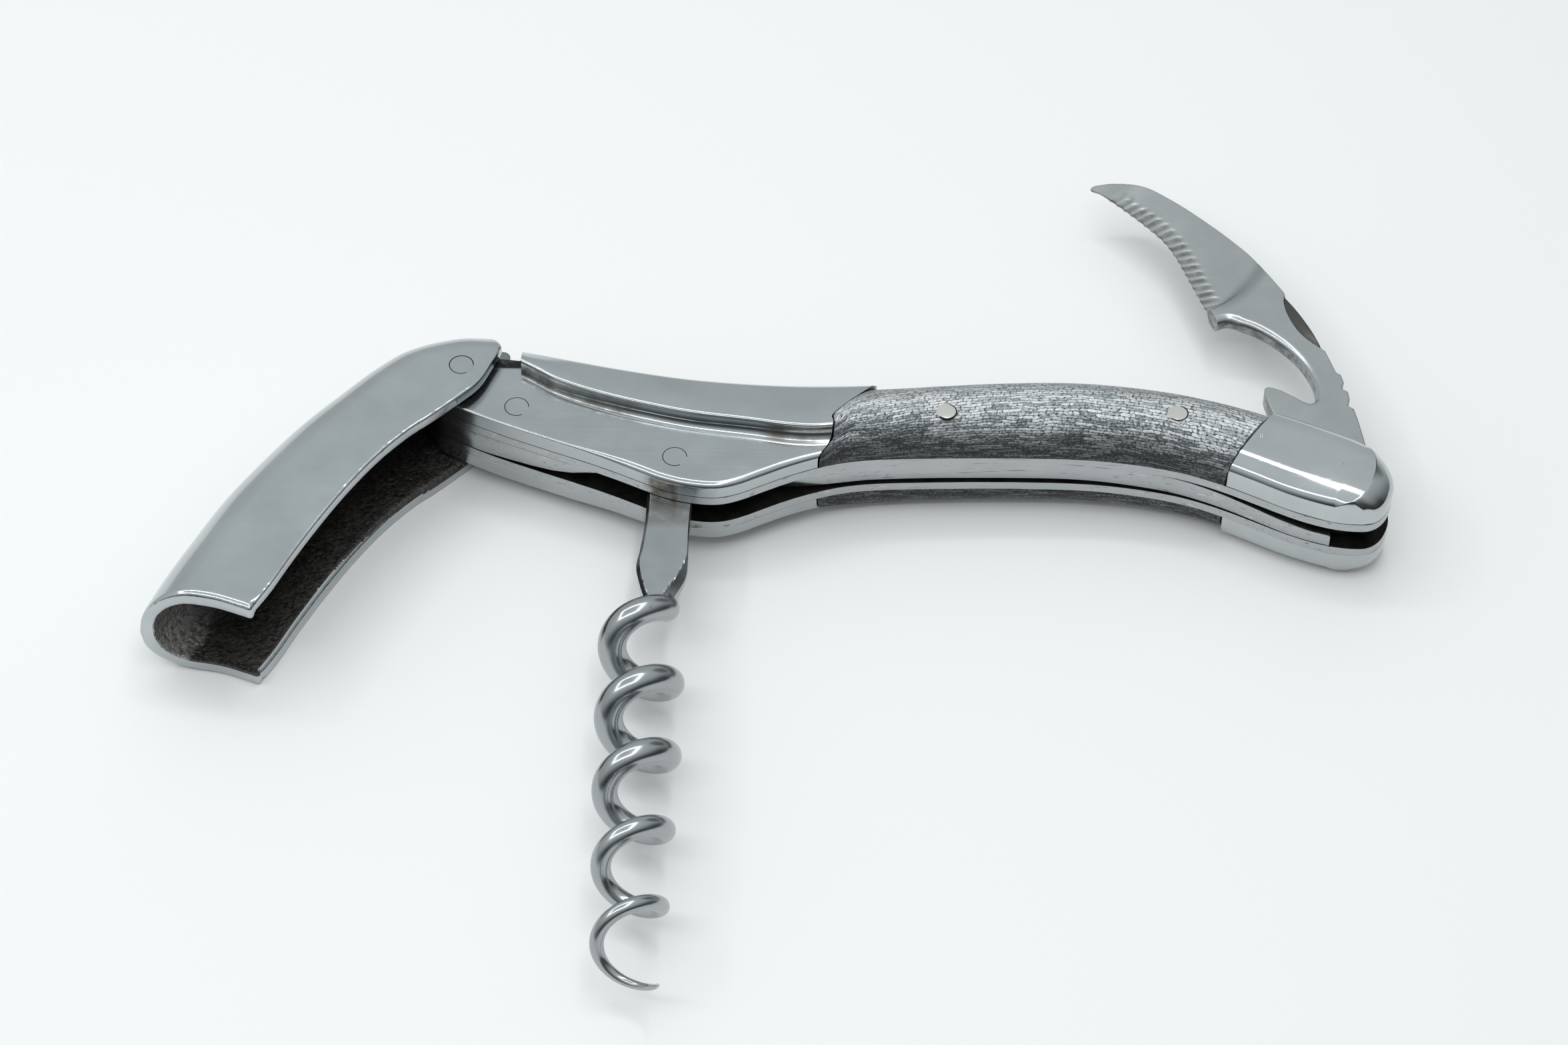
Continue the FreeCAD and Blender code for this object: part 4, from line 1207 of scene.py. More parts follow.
def build_blade():
    hb = 1.2
    r = 4.2
    cx, cy = P_BLADE
    arc = [(cx + r * math.cos(t), cy + r * math.sin(t))
           for t in np.linspace(0, -math.pi, 24)]
    cut = catmull(CUTTING, 260)
    # small scallops along the edge
    s = np.r_[0, np.cumsum(np.linalg.norm(np.diff(cut, axis=0), axis=1))]
    t = np.gradient(cut, axis=0)
    t /= np.linalg.norm(t, axis=1)[:, None]
    inw = np.c_[t[:, 1], -t[:, 0]]
    S1 = s[-1]
    pitch = 1.22
    wav = np.abs(np.sin(math.pi * (s - 2.6) / pitch)) ** 0.8
    gate = smooth(2.4, 3.4, s) * smooth(S1 - 1.6, S1 - 4.5, s)
    teeth = cut + inw * (0.16 * wav * gate)[:, None]
    spine = catmull(SPINE, 150)
    low = catmull([(cx - r, cy), (62.45, 7.20), (61.60, 10.60),
                   (60.60, 14.60), (59.55, 18.40)], 30)
    prong = catmull(LIFTER[:4], 12)
    claw = catmull(LIFTER[3:10], 36)
    hook = catmull(LIFTER[9:], 70)
    steps = []
    jp = JIMP[:9]
    for p, q in zip(jp[:-1], jp[1:]):
        steps += [tuple(np.array(p) + (np.array(q) - np.array(p)) * k / 4.0)
                  for k in range(4)]
    tang = catmull(JIMP[8:], 30)
    parts_ = [spine[:-1], np.array(steps), tang, np.array(arc), low[1:-1],
              prong[:-1], claw[:-1], hook[:-1], teeth[:-1]]
    out = np.vstack(parts_)
    hole = np.array([(cx + 1.55 * math.cos(k), cy + 1.55 * math.sin(k))
                     for k in np.linspace(0, 2 * math.pi, 49)[:-1]])
    rest = np.vstack([spine[4:], np.array(steps), tang, np.array(arc),
                      low[1:-1], prong, claw, hook])
    hookl = np.vstack([claw[20:], hook])
    plunge = catmull([(51.3, 34.9), (52.8, 35.5), (54.19, 36.42),
                      (56.15, 38.08), (57.4, 39.5), (58.4, 40.9),
                      (59.3, 42.6), (59.9, 44.2)], 70)
    nick_in = catmull([(62.45, 39.2), (62.0, 38.3), (61.9, 36.96),
                       (62.29, 34.73), (63.52, 31.9), (65.27, 29.89),
                       (66.93, 28.68), (67.9, 28.3)], 60)

    def zfun(P):
        dc, sc = line_dist(P, cut)
        d_all, _ = line_dist(P, rest)
        d_h, s_h = line_dist(P, hookl)
        z = np.full(len(P), hb)
        # grind, from the edge up to the spine, ending at the plunge line
        w = 9.4 * (1 - 0.5 * smooth(20, S1, sc))
        tt = dc / w
        grd = 0.22 + (hb - 0.22) * \
            np.minimum(tt, 1.0)
        kk = smooth(0.80, 1.10, tt)
        grd = grd * (1 - kk) + hb * kk
        dp, sp = line_dist(P, plunge)
        # which side of the plunge line
        pl = plunge
        near = np.array([np.argmin((pl[:, 0] - p[0]) ** 2 +
                                   (pl[:, 1] - p[1]) ** 2) for p in P])
        tn = np.gradient(pl, axis=0)[near]
        off = P - pl[near]
        side = np.sign(tn[:, 0] * off[:, 1] - tn[:, 1] * off[:, 0])
        sd = side * dp
        # the step is short at the line and eases out up the blade
        ext = 0.9 + 1.5 * smooth(4.0, 9.5, sp)
        gk = 1 - (1 - np.clip((sd + 0.10) / ext, 0, 1)) ** 2
        z = hb * (1 - gk) + grd * gk
        # flutes
        ph = np.abs(np.sin(math.pi * (sc - 2.6 + 0.10 * dc) / pitch)) ** 0.9
        ln = 2.55 * (1 - 0.35 * smooth(17, S1, sc))
        gt = smooth(2.6, 4.0, sc) * smooth(S1 - 2.6, S1 - 6.5, sc) * \
            smooth(ln, ln - 0.7, dc + 0.5 * (1 - ph)) * \
            smooth(0.0, 0.35, dc + 0.05)
        z -= 0.055 * ph * gt * (0.5 + 0.5 * smooth(0, 1.4, dc))
        z = np.maximum(z, 0.09)
        # nail nick
        dn, sn = line_dist(P, nick_in)
        nr = np.array([np.argmin((nick_in[:, 0] - p[0]) ** 2 +
                                 (nick_in[:, 1] - p[1]) ** 2) for p in P])
        tn = np.gradient(nick_in, axis=0)[nr]
        off = P - nick_in[nr]
        sd = -np.sign(tn[:, 0] * off[:, 1] - tn[:, 1] * off[:, 0]) * dn
        sd = -sd
        inside = (sd > 0) & (dn < 4.0) & (P[:, 1] > 27.6) & (P[:, 1] < 40.0)
        L = 12.2
        e = smooth(0.0, 0.6, sn) * smooth(L, L - 0.6, sn)
        cutn = np.where(inside, 0.62 * smooth(0.0, 0.20, sd) *
                        (1 - 0.45 * smooth(0.2, 1.9, sd)) * e, 0.0)
        # rounded edges
        re = np.where(d_h < d_all + 0.02, 0.78, 0.14)
        Lh = line_dist(P[:1], hookl)[0][0] * 0 + float(np.sum(
            np.linalg.norm(np.diff(hookl, axis=0), axis=1)))
        big = 0.14 + 0.72 * smooth(0, 3.0, s_h) + \
            0.55 * smooth(Lh - 3.6, Lh - 1.2, s_h)
        re = np.where(d_h < 1.6, big, 0.14)
        re = np.minimum(re, 1.12)
        q = np.clip(d_all / re, 0, 1)
        z = z - re * (1 - np.sqrt(np.maximum(0, 1 - (1 - q) ** 2)))
        tip = smooth(S1 - 4.5, S1 - 0.5, sc) * smooth(6, 3, dc)
        z = z * (1 - 0.35 * tip)
        return np.maximum(z - cutn, 0.08), -np.maximum(z, 0.08)

    rows = [0.03, 0.08, 0.15, 0.25, 0.38, 0.54, 0.72, 0.92, 1.12]
    # fine points under the flutes
    ex = []
    for k in range(0, 261):
        for d in (0.95, 1.15, 1.35, 1.55, 1.75, 1.95, 2.15, 2.35, 2.6, 2.85,
                  3.1):
            ex.append(cut[k] + inw[k] * d)
    ex = np.array(ex)
    nrm = np.gradient(plunge, axis=0)
    nrm /= np.linalg.norm(nrm, axis=1)[:, None]
    for d in np.arange(-0.4, 2.4, 0.14):
        ex = np.vstack([ex, plunge + np.c_[-nrm[:, 1], nrm[:, 0]] * d])
    nrm = np.gradient(nick_in, axis=0)
    nrm /= np.linalg.norm(nrm, axis=1)[:, None]
    for d in (0.0, 0.06, 0.12, 0.18, 0.24, 0.4, 0.6, 0.9, 1.2):
        ex = np.vstack([ex, nick_in + np.c_[-nrm[:, 1], nrm[:, 0]] * d])
    dd, _ = line_dist(ex, np.vstack([out, out[:1]]))
    ex = ex[in_poly(ex, out) & (dd > 0.08)]
    v, f = plate(out, [hole], zfun, 0.45, rows, ex)
    ob = make("blade_ground", v, f, "blade", M_BLADE,
              sharp=48, merge=0)
    # masks for the painted shade on the blade: flute hollows, the nail nick
    # hollow and a band along the plunge line
    P = np.asarray(v)[:, :2]
    up_ = np.asarray(v)[:, 2] > 0
    dc, sc = line_dist(P, cut)
    ph = np.abs(np.sin(math.pi * (sc - 2.6 + 0.10 * dc) / pitch))
    fl_ = smooth(0.35, 0.85, ph) * smooth(2.4, 1.5, dc) * \
        smooth(2.6, 4.0, sc) * smooth(S1 - 2.2, S1 - 5.5, sc)
    dn, sn = line_dist(P, nick_in)
    nk = np.where(up_ & (np.asarray(v)[:, 2] < hb - 0.20) &
                  (sn > 0.2) & (sn < 12.6) & (dn < 4.0) &
                  (P[:, 1] > 27.6) & (P[:, 1] < 40.0) &
                  in_poly(P, np.vstack([nick_in, [(69.5, 27.5),
                                                  (66.0, 40.0)]])), 1.0, 0)
    dp, sp = line_dist(P, plunge)
    pg = smooth(1.5, 0.1, dp) * smooth(1.0, 4.0, sp) * 0.8
    for nm_, val in (("flute", fl_), ("nick", nk), ("scoop", pg)):
        at = ob.data.attributes.new(nm_, "FLOAT", "POINT")
        if len(at.data) == len(val):
            at.data.foreach_set("value", np.asarray(val, np.float32))
        else:
            print("blade marks left out", len(at.data), len(val))
    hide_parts("blade")
    return ob


build_blade()

# ======================================================================
# Main spring
# ======================================================================
def build_spring():
    xs = np.linspace(-41.6, -22.9, 80)
    neck = np.c_[xs, belly(xs)]
    low = catmull([(-22.9, float(belly(-22.9))), (-22.2, 6.9),
                   (-20.50, 8.85), (-17.50, 9.70),
                   (-14.00, 9.75), (-10.50, 9.20), (-7.00, 8.00),
                   (-3.50, 6.85), (0.00, 6.45), (3.50, 6.70),
                   (6.50, 7.18), (10.00, 7.74), (15.00, 8.12),
                   (20.60, 8.38), (30.80, 8.60), (37.80, 8.40),
                   (43.80, 7.62), (48.00, 6.68), (52.45, 5.04),
                   (55.90, 3.42), (60.32, 1.24), (63.00, 0.15),
                   (65.50, -0.60)], 260)
    end = catmull([(65.50, -0.60), (65.62, 0.70), (64.60, 1.25)], 10)
    top = catmull([(64.60, 1.25), (61.60, 2.60),
                   (58.00, 4.60), (54.50, 6.40), (50.50, 8.05),
                   (46.00, 9.50), (40.00, 10.80), (32.00, 11.40),
                   (22.00, 11.30), (12.00, 10.90), (3.00, 10.70),
                   (-4.00, 11.20), (-10.00, 12.30), (-15.00, 13.60),
                   (-18.50, 15.30), (-21.00, 17.60), (-22.50, 19.40),
                   (-23.30, 20.30)], 160)
    xb = np.linspace(-24.0, -33.3, 30)
    bk = np.c_[xb, back(xb)]
    nose = catmull([(-33.45, 22.02), (-34.00, 23.10), (-34.15, 24.05),
                    (-34.15, 24.80), (-34.60, 25.35), (-35.25, 25.45),
                    (-35.85, 25.05), (-36.08, 24.30), (-35.92, 23.50),
                    (-35.95, 22.70), (-36.30, 22.32)], 40)
    xn = np.linspace(-36.5, -39.5, 10)
    nk = np.c_[xn, back(xn)]
    cx, cy = P_LEVER
    arc = np.array([(cx + NECK_R * math.cos(t), cy + NECK_R * math.sin(t))
                    for t in np.linspace(math.pi / 2, math.pi * 1.34, 30)])
    out = np.vstack([neck[:-1], low[:-1], end[:-1], top[:-1], bk, nose, nk,
                     arc[1:]])
    holes = []
    for (hx, hy), r in ((P_LEVER, 1.56), (P_HEAD, 1.51)):
        holes.append(np.array([(hx + r * math.cos(k), hy + r * math.sin(k))
                               for k in np.linspace(0, 2 * math.pi,
                                                    41)[:-1]]))
    closed = np.vstack([out, out[:1]])

    def zfun(P):
        x, y = P[:, 0], P[:, 1]
        zt = np.interp(x, [-50, 43.0, 49.0, 54.0, 59.0, 63.0, 70.0],
                       [ZI, ZI, ZI - 0.22, ZI - 0.62, ZI - 1.05,
                        ZI - 1.30, ZI - 1.40])
        zb = np.interp(x, [-50, -24, -20, 34.0, 48.0, 60.0, 70.0],
                       [-ZI, -ZI, -ZI + 0.70, -ZI + 0.70, -ZI + 0.35,
                        -ZI, -ZI])
        # the leaf thins to a feather beside the near liner at its root
        th = np.interp(x, [-50, -39.0, -36.0, -33.1, -30.5, -28.2, -25.8,
                           -24.3, -22.8], [3.2, 3.2, 2.95, 2.72, 2.52,
                                           2.22, 1.55, 0.85, 0.12])
        k = smooth(5.0, 1.6, y - belly(x)) * (x < -20.0)
        zt = zt - 0.07 * smooth(-39, -36, x) * smooth(-24, -27, x)
        zb = zb * (1 - k) + (zt - th) * k
        d, _ = line_dist(P, closed)
        re = np.minimum(0.14, (zt - zb) * 0.3)
        q = np.clip(d / re, 0, 1)
        c = re * (1 - np.sqrt(np.maximum(0, 1 - (1 - q) ** 2)))
        return (np.clip(zt - c, -ZI + 0.05, ZI - 0.003),
                np.clip(zb + c, -ZI + 0.003, ZI - 0.05))

    v, f = plate(out, holes, zfun, 0.6, [0.05, 0.14, 0.4, 0.9, 1.5])
    ob = make("main_spring_leaf", v, f, "handle", M_SPRING,
              sharp=40, merge=0)
    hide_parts("main_spring")


build_spring()

# ======================================================================
# Pins and rivets
# ======================================================================
def build_pin(node, name, centre, r, zt, body, groove=0.05):
    prof = [(0.0, -zt + 0.0), (r * 0.5, -zt), (r - 0.11, -zt),
            (r, -zt + 0.001), (r, zt - 0.001), (r - 0.11, zt),
            (r * 0.5, zt), (0.0, zt)]
    v, f = lathe(prof, centre)
    v = np.asarray(v)
    fm = []
    for q in f:
        rad = np.hypot(v[list(q), 0] - centre[0], v[list(q), 1] - centre[1])
        ang = math.atan2(v[q[0], 1] - centre[1], v[q[0], 0] - centre[0])
        # painted shade: the chamfer ring round the end face takes the
        # near-black seam steel, except for a lit arc on the lower right
        dark = rad.min() > r - 0.12 and abs(v[q[0], 2]) > zt - 0.1 and \
            math.sin(ang * 1.0 + 2.2) < 0.86
        fm.append(1 if dark else 0)
    ob = make(name, v, f, body, [M_PIN, M_SEAM_SHADE], sharp=30,
              fmat=fm, merge=0)
    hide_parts(node)


build_pin("head_pin", "head_pin_peened", P_HEAD, 1.5, 5.006, "handle")
build_pin("worm_pin", "worm_pin_peened", P_WORM, 1.5, 5.006, "handle")
build_pin("lever_pin", "lever_pin_peened", P_LEVER, 1.5, 7.186, "lever",
          0.05)


def build_rivet(side, tag, centre):
    r = 1.27
    prof = [(0.0, 1.6), (r, 1.6), (r, 7.085), (r - 0.02, 7.108),
            (r - 0.17, 7.112), (r - 0.20, 7.118)]
    for k in range(1, 9):
        q = (r - 0.20) * (1 - k / 8.0)
        prof.append((q, 7.118 + 0.075 * (1 - (q / (r - 0.20)) ** 2)))
    v, f = lathe(prof, centre)
    v = [(p[0], p[1], p[2] * side) for p in v]
    nm = ("near" if side > 0 else "far") + "_rivet_" + tag
    va = np.asarray(v)
    # painted shade: the outer rim takes the near-black seam steel all round
    # except on the left, where light falls
    fm = []
    for q in f:
        dx, dy = va[list(q), 0] - centre[0], va[list(q), 1] - centre[1]
        ang = math.atan2(dy.mean(), dx.mean())
        fm.append(1 if np.hypot(dx, dy).min() > r - 0.19 and
                  math.cos(ang + 0.5) > -0.25 else 0)
    ob = make(nm + "_set", v, f, "handle", [M_RIVET, M_SEAM_SHADE],
              sharp=32, fmat=fm, merge=0)
    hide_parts(nm)


for sd in (1, -1):
    build_rivet(sd, "head", (19.33, 12.10))
    build_rivet(sd, "tail", (47.26, 12.60))

# ======================================================================
# Lever: a channel with a round back, drawn as its side outline with an
# outer and an inner skin
# ======================================================================
FLANGE = [(-34.85, 21.20), (-35.15, 20.30), (-35.98, 18.22),
          (-36.85, 16.12), (-37.75, 14.70), (-39.14, 13.20),
          (-41.21, 11.08), (-42.94, 9.38), (-45.18, 7.30), (-48.45, 3.39),
          (-51.63, -1.44), (-54.50, -6.60), (-57.40, -12.45),
          (-59.55, -17.20), (-61.10, -20.10)]
LEVER_END = [(-61.10, -20.10), (-61.62, -20.95), (-62.70, -20.62),
             (-66.20, -19.45), (-70.60, -18.85), (-75.20, -18.95)]
LEVER_BACK = [(-75.20, -18.95), (-74.10, -16.00), (-72.95, -13.20),
              (-71.70, -10.40), (-70.42, -7.70), (-69.15, -5.05),
              (-67.85, -2.45), (-66.50, -0.10), (-65.18, 1.98),
              (-63.80, 4.05), (-62.40, 6.05), (-61.00, 8.00),
              (-59.60, 9.85), (-58.15, 11.60), (-56.70, 13.25),
              (-55.22, 14.85), (-53.72, 16.50), (-52.25, 18.10),
              (-50.75, 19.60), (-49.25, 20.98), (-47.72, 22.20),
              (-46.05, 23.15), (-44.38, 23.85), (-42.72, 24.38),
              (-41.08, 24.80), (-39.40, 25.05), (-37.90, 25.05),
              (-36.60, 24.45), (-35.60, 23.10), (-34.95, 21.75),
              (-34.85, 21.20)]


def build_lever():
    fl = catmull(FLANGE, 110)
    en = catmull(LEVER_END, 60)
    bk = catmull(LEVER_BACK, 190)
    O = np.vstack([fl[:-1], en[:-1], bk[:-1]])
    i_bk = len(fl) - 1 + len(en) - 1
    t = np.gradient(bk, axis=0)
    t /= np.linalg.norm(t, axis=1)[:, None]
    inw = np.c_[t[:, 1], -t[:, 0]]
    sB = np.r_[0, np.cumsum(np.linalg.norm(np.diff(bk, axis=0), axis=1))]
    tw = 1.5 + 0.5 * smooth(0, 18, sB)
    off = bk + inw * tw[:, None]
    off = off[(bk[:, 0] < -38.0)]
    # start of the channel on the end edge, end of it on the back edge
    d0 = np.linalg.norm(O - off[0], axis=1)
    d0[:i_bk - 60] = 1e9
    j0 = int(np.argmin(d0))
    O[j0] = off[0] if d0[j0] < 0.05 else O[j0]
    j1 = i_bk + int(np.argmin(np.abs(bk[:-6, 0] + 36.45) +
                              (bk[:-6, 1] < 23) * 50))
    tail_ = [(-37.6, 23.08), (-36.9, 23.05), (-36.45, 23.12),
             (O[j1][0] + 0.02, (23.12 + O[j1][1]) / 2.0)]
    C = np.vstack([O[j0:j0 + 1], off[2:], np.array(tail_), O[j1:j1 + 1]])
    # channel region in plan
    n = len(O)
    idx = []
    k = j1
    while k % n != j0:
        idx.append(k % n)
        k += 1
    I = np.vstack([C, O[idx][1:]])
    hx, hy = P_LEVER
    hole = np.array([(hx + 1.52 * math.cos(q), hy + 1.52 * math.sin(q))
                     for q in np.linspace(0, 2 * math.pi, 61)[:-1]])
    # points: rows square to the back, for the two roundings
    pts = []
    for f in np.linspace(0.06, math.pi / 2, 15):
        pts.append(bk + inw * 6.4 * (1 - math.cos(f)))
        pts.append(bk + inw * (tw[:, None] + 4.6 * (1 - math.cos(f))))
    for loop, lim in ((fl, 0), (en, 0)):
        tt = np.gradient(loop, axis=0)
        tt /= np.linalg.norm(tt, axis=1)[:, None]
        nn = np.c_[tt[:, 1], -tt[:, 0]]
        for r in (0.06, 0.14, 0.24, 0.38, 0.55, 0.75, 1.0):
            for sg in (1, -1):
                pts.append(loop + nn * r * sg)
    for r in (1.62, 1.8, 2.2):
        pts.append(np.array([(hx + r * math.cos(q), hy + r * math.sin(q))
                             for q in np.linspace(0, 2 * math.pi,
                                                  49)[:-1]]))
    gx = np.arange(-76, -34, 0.9)
    gy = np.arange(-21, 26, 0.9)
    X, Y = np.meshgrid(gx, gy)
    X[1::2] += 0.45
    pts.append(np.c_[X.ravel(), Y.ravel()])
    pts = np.vstack(pts)
    oc = np.vstack([O, O[:1]])
    hc = np.vstack([hole, hole[:1]])
    ok = in_poly(pts, O) & ~in_poly(pts, hole)
    pts = pts[ok]
    dd = np.minimum(line_dist(pts, oc)[0],
                    np.minimum(line_dist(pts, C)[0],
                               line_dist(pts, hc)[0]))
    pts = pts[dd > 0.04]
    key = np.round(pts / 0.11).astype(int)
    _, ix = np.unique(key, axis=0, return_index=True)
    pts = pts[np.sort(ix)]
    base = np.vstack([O, C[1:-1], hole])
    nO, nC = n, len(C) - 2
    P = np.vstack([base, pts])
    edges = [(q, (q + 1) % n) for q in range(n)]
    ci = [j0] + [nO + q for q in range(nC)] + [j1]
    edges += list(zip(ci[:-1], ci[1:]))
    h0 = nO + nC
    edges += [(h0 + q, h0 + (q + 1) % len(hole)) for q in range(len(hole))]
    res = geometry.delaunay_2d_cdt([Vector((float(p[0]), float(p[1])))
                                    for p in P], edges, [], 0, 1e-7)
    V2 = np.array([[p[0], p[1]] for p in res[0]])
    F = np.array([tuple(f) for f in res[2]])
    cen = V2[F].mean(1)
    keep = in_poly(cen, O) & ~in_poly(cen, hole)
    F, cen = F[keep], cen[keep]
    chan = in_poly(cen, I)
    # skins
    bk2 = np.vstack([bk[bk[:, 0] < -38.6], [(-36.0, 25.02), (-32, 24.8)]])
    d, s_ = line_dist(V2, bk2)
    Ro = 6.4 - 1.6 * smooth(10, 62, s_)
    q = np.clip(1 - d / Ro, 0, 1)
    zo = 7.2 - Ro + Ro * np.sqrt(np.maximum(0, 1 - q * q))
    tw_ = np.interp(s_, sB, tw)
    Ri = 4.6 - 1.9 * smooth(4, 36, s_) - 1.9 * smooth(36, 62, s_)
    dd = np.maximum(0, d - tw_)
    q = np.clip(1 - dd / Ri, 0, 1)
    zi = 5.25 - Ri + Ri * np.sqrt(np.maximum(0, 1 - q * q))
    zi = np.where((V2[:, 0] > -37.0) & (V2[:, 1] > 22.6), 5.25, zi)
    de, _ = line_dist(V2, en)
    df, _ = line_dist(V2, np.vstack([bk[bk[:, 0] > -36.2][-30:], fl]))
    for dist, r in ((de, 0.75), (df, 0.34)):
        q = 1 - np.clip(dist / r, 0, 1)
        zo = zo - r * (1 - np.sqrt(np.maximum(0, 1 - q * q))) * 0.92
    for dist, r in ((de, 0.22), (df, 0.16)):
        q = 1 - np.clip(dist / r, 0, 1)
        zi = zi + r * (1 - np.sqrt(np.maximum(0, 1 - q * q))) * 0.9
    # the edge that folds along the handle's ledge is eased further, so
    # that it clears the hollow at the foot of the ledge
    dl, sl = line_dist(V2, fl)
    ease = 0.54 * np.clip(1 - dl / 0.64, 0, 1) ** 1.25
    # towards the open end that eased edge is ground bright like the rim
    bright = 0.60 * smooth(12.0, 40.0, sl) - dl
    zi = np.where(ease > 0, np.maximum(zi, zi.clip(5.0) + ease), zi)
    zi = np.minimum(zi, zo - 0.25)
    zi = np.maximum(zi, 0.05)
    N2 = len(V2)
    v = np.vstack([np.c_[V2, zo], np.c_[V2, -zo],
                   np.c_[V2, zi], np.c_[V2, -zi]])
    faces, fm = [], []
    for f, c in zip(F, chan):
        a, b, e = (int(x) for x in f)
        faces.append((a, b, e))
        faces.append((a + N2, e + N2, b + N2))
        fm += [0, 0]
        if c:
            faces.append((a + 2 * N2, e + 2 * N2, b + 2 * N2))
            faces.append((a + 3 * N2, b + 3 * N2, e + 3 * N2))
            fm += [0 if bright[a] + bright[b] + bright[e] > 0 else 1] * 2
    owner = {}
    for f, c in zip(F, chan):
        a, b, e = (int(x) for x in f)
        for p, q in ((a, b), (b, e), (e, a)):
            owner[(p, q)] = c
    for (p, q), c in owner.items():
        o = owner.get((q, p))
        if o is None:
            if c:
                faces.append((q, p, p + 2 * N2, q + 2 * N2))
                faces.append((p + N2, q + N2, q + 3 * N2, p + 3 * N2))
                fm += [0, 0]
            else:
                faces.append((q, p, p + N2, q + N2))
                fm.append(0)
        elif c and not o:
            faces.append((p + 2 * N2, q + 2 * N2, q + 3 * N2, p + 3 * N2))
            fm.append(1)
    ob = make("lever_channel", v, faces, "lever", [M_LEVER, M_CAST],
              sharp=42, merge=0, fmat=fm)
    bm = bmesh.new()
    bm.from_mesh(ob.data)
    loose = [w for w in bm.verts if not w.link_faces]
    bmesh.ops.delete(bm, geom=loose, context="VERTS")
    bmesh.ops.recalc_face_normals(bm, faces=bm.faces)
    bm.to_mesh(ob.data)
    bm.free()
    ob.data.set_sharp_from_angle(angle=math.radians(42))
    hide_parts("lever")


build_lever()

# ======================================================================
# Worm: flat shank with hand-ground facets, and the wire
# ======================================================================
def build_worm():
    left = catmull([(-16.40, 5.78), (-16.50, 3.40), (-16.62, -1.30),
                    (-17.05, -5.50), (-17.42, -8.20), (-17.00, -10.60),
                    (-16.25, -13.20), (-15.60, -14.70)], 60)
    foot = catmull([(-15.60, -14.70), (-14.60, -15.20),
                    (-13.60, -14.60)], 14)
    right = catmull([(-13.60, -14.60), (-12.70, -12.20), (-11.65, -9.80),
                     (-11.35, -7.80), (-11.30, -3.00), (-11.00, 3.00),
                     (-10.16, 5.78)], 60)
    cx, cy = P_WORM
    cap = np.array([(cx + 3.12 * math.cos(q), cy + 3.12 * math.sin(q))
                    for q in np.linspace(0, math.pi, 40)])
    out = np.vstack([left[:-1], foot[:-1], right[:-1], cap[:-1]])
    hole = np.array([(cx + 1.55 * math.cos(q), cy + 1.55 * math.sin(q))
                     for q in np.linspace(0, 2 * math.pi, 41)[:-1]])

    def zfun(P):
        x, y = P[:, 0], P[:, 1]
        dl, _ = line_dist(P, left)
        dr, _ = line_dist(P, right)
        df, _ = line_dist(P, foot)
        z = np.full(len(P), 1.5)

        def cut(d, w, depth):
            q = np.clip(d / w, 0, 1)
            e = np.clip((w - d) / 0.10, 0, 1)
            return depth * (1 - q) * (e * e * (3 - 2 * e))
        wl = 0.40 + 0.06 * smooth(-7, -11, y)
        wr = 0.16 + 0.62 * smooth(-6.4, -9.5, y) + \
            0.35 * smooth(-9.5, -12.5, y)
        z = z - cut(dl, wl, 0.50 + 0.10 * smooth(-7, -11, y))
        z = z - cut(dr, wr, 0.22 + 0.80 * smooth(-6.4, -9.5, y))
        # the flat stops at a line square across above the wire
        z = z - 0.9 * smooth(-13.15, -13.45, y)
        return np.maximum(z, 0.30)

    ex = []
    for yy in np.arange(-15.2, -12.2, 0.12):
        for xx in np.arange(-17.0, -12.0, 0.18):
            ex.append((xx, yy))
    for L in (left, right):
        tt = np.gradient(L, axis=0)
        tt /= np.linalg.norm(tt, axis=1)[:, None]
        nn = np.c_[-tt[:, 1], tt[:, 0]]
        for r in (0.36, 0.42, 0.5, 0.58, 0.64, 0.8, 0.95, 1.05, 1.15):
            ex += list(L + nn * r)
            ex += list(L - nn * r)
    ex = np.array(ex)
    dd, _ = line_dist(ex, np.vstack([out, out[:1]]))
    ex = ex[in_poly(ex, out) & ~in_poly(ex, hole) & (dd > 0.1)]
    v, f = plate(out, [hole], zfun, 0.5, [0.06, 0.14, 0.25], ex)
    ob = make("worm_shank", v, f, "worm", M_WORM, sharp=30,
              merge=0)
    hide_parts("worm")
    # the wire
    rad, pitch, wx, wr = 3.5, 10.62, -16.35, 1.7
    path = [(-14.25, -10.60, -0.05, 1.05), (-14.05, -12.20, -0.02, 1.22),
            (-13.85, -13.60, 0.10, 1.36), (-13.62, -14.75, 1.05, 1.44)]
    a = 38.0
    a_end = 1802.0
    while a <= a_end + 0.01:
        r = math.radians(a)
        y = -19.65 - (a - 180.0) / 360.0 * pitch
        t = (a - 700.0) / (a_end - 700.0)
        w = wr if t <= 0 else wr * (1 - 0.62 * t)
        if a > a_end - 230:
            q = (a_end - a) / 230.0
            w = min(w, 0.14 + (wr * 0.50) * q ** 0.8)
        if a < 120:
            w = 1.55 + 0.15 * (a - 38) / 82.0
        path.append((wx + rad * math.cos(r), y, rad * math.sin(r), w))
        a += 7.0
    pts = catmull(path, 620)
    n, k = len(pts), 28
    v, f = [], []
    for i in range(n):
        p = pts[i, :3]
        t = pts[min(n - 1, i + 1), :3] - pts[max(0, i - 1), :3]
        t /= np.linalg.norm(t)
        axv = np.array([p[0] - wx, 0.0, p[2]])
        nr = axv - t * (axv @ t)
        nr /= np.linalg.norm(nr)
        bi = np.cross(t, nr)
        w = pts[i, 3]
        for j in range(k):
            q = 2 * math.pi * j / k
            v.append(p + nr * (w * math.cos(q)) + bi * (w * math.sin(q)))
    f = []
    for i in range(n - 1):
        for j in range(k):
            q = (j + 1) % k
            f.append((i * k + j, i * k + q, (i + 1) * k + q,
                      (i + 1) * k + j))
    f.append(tuple(range(k)))
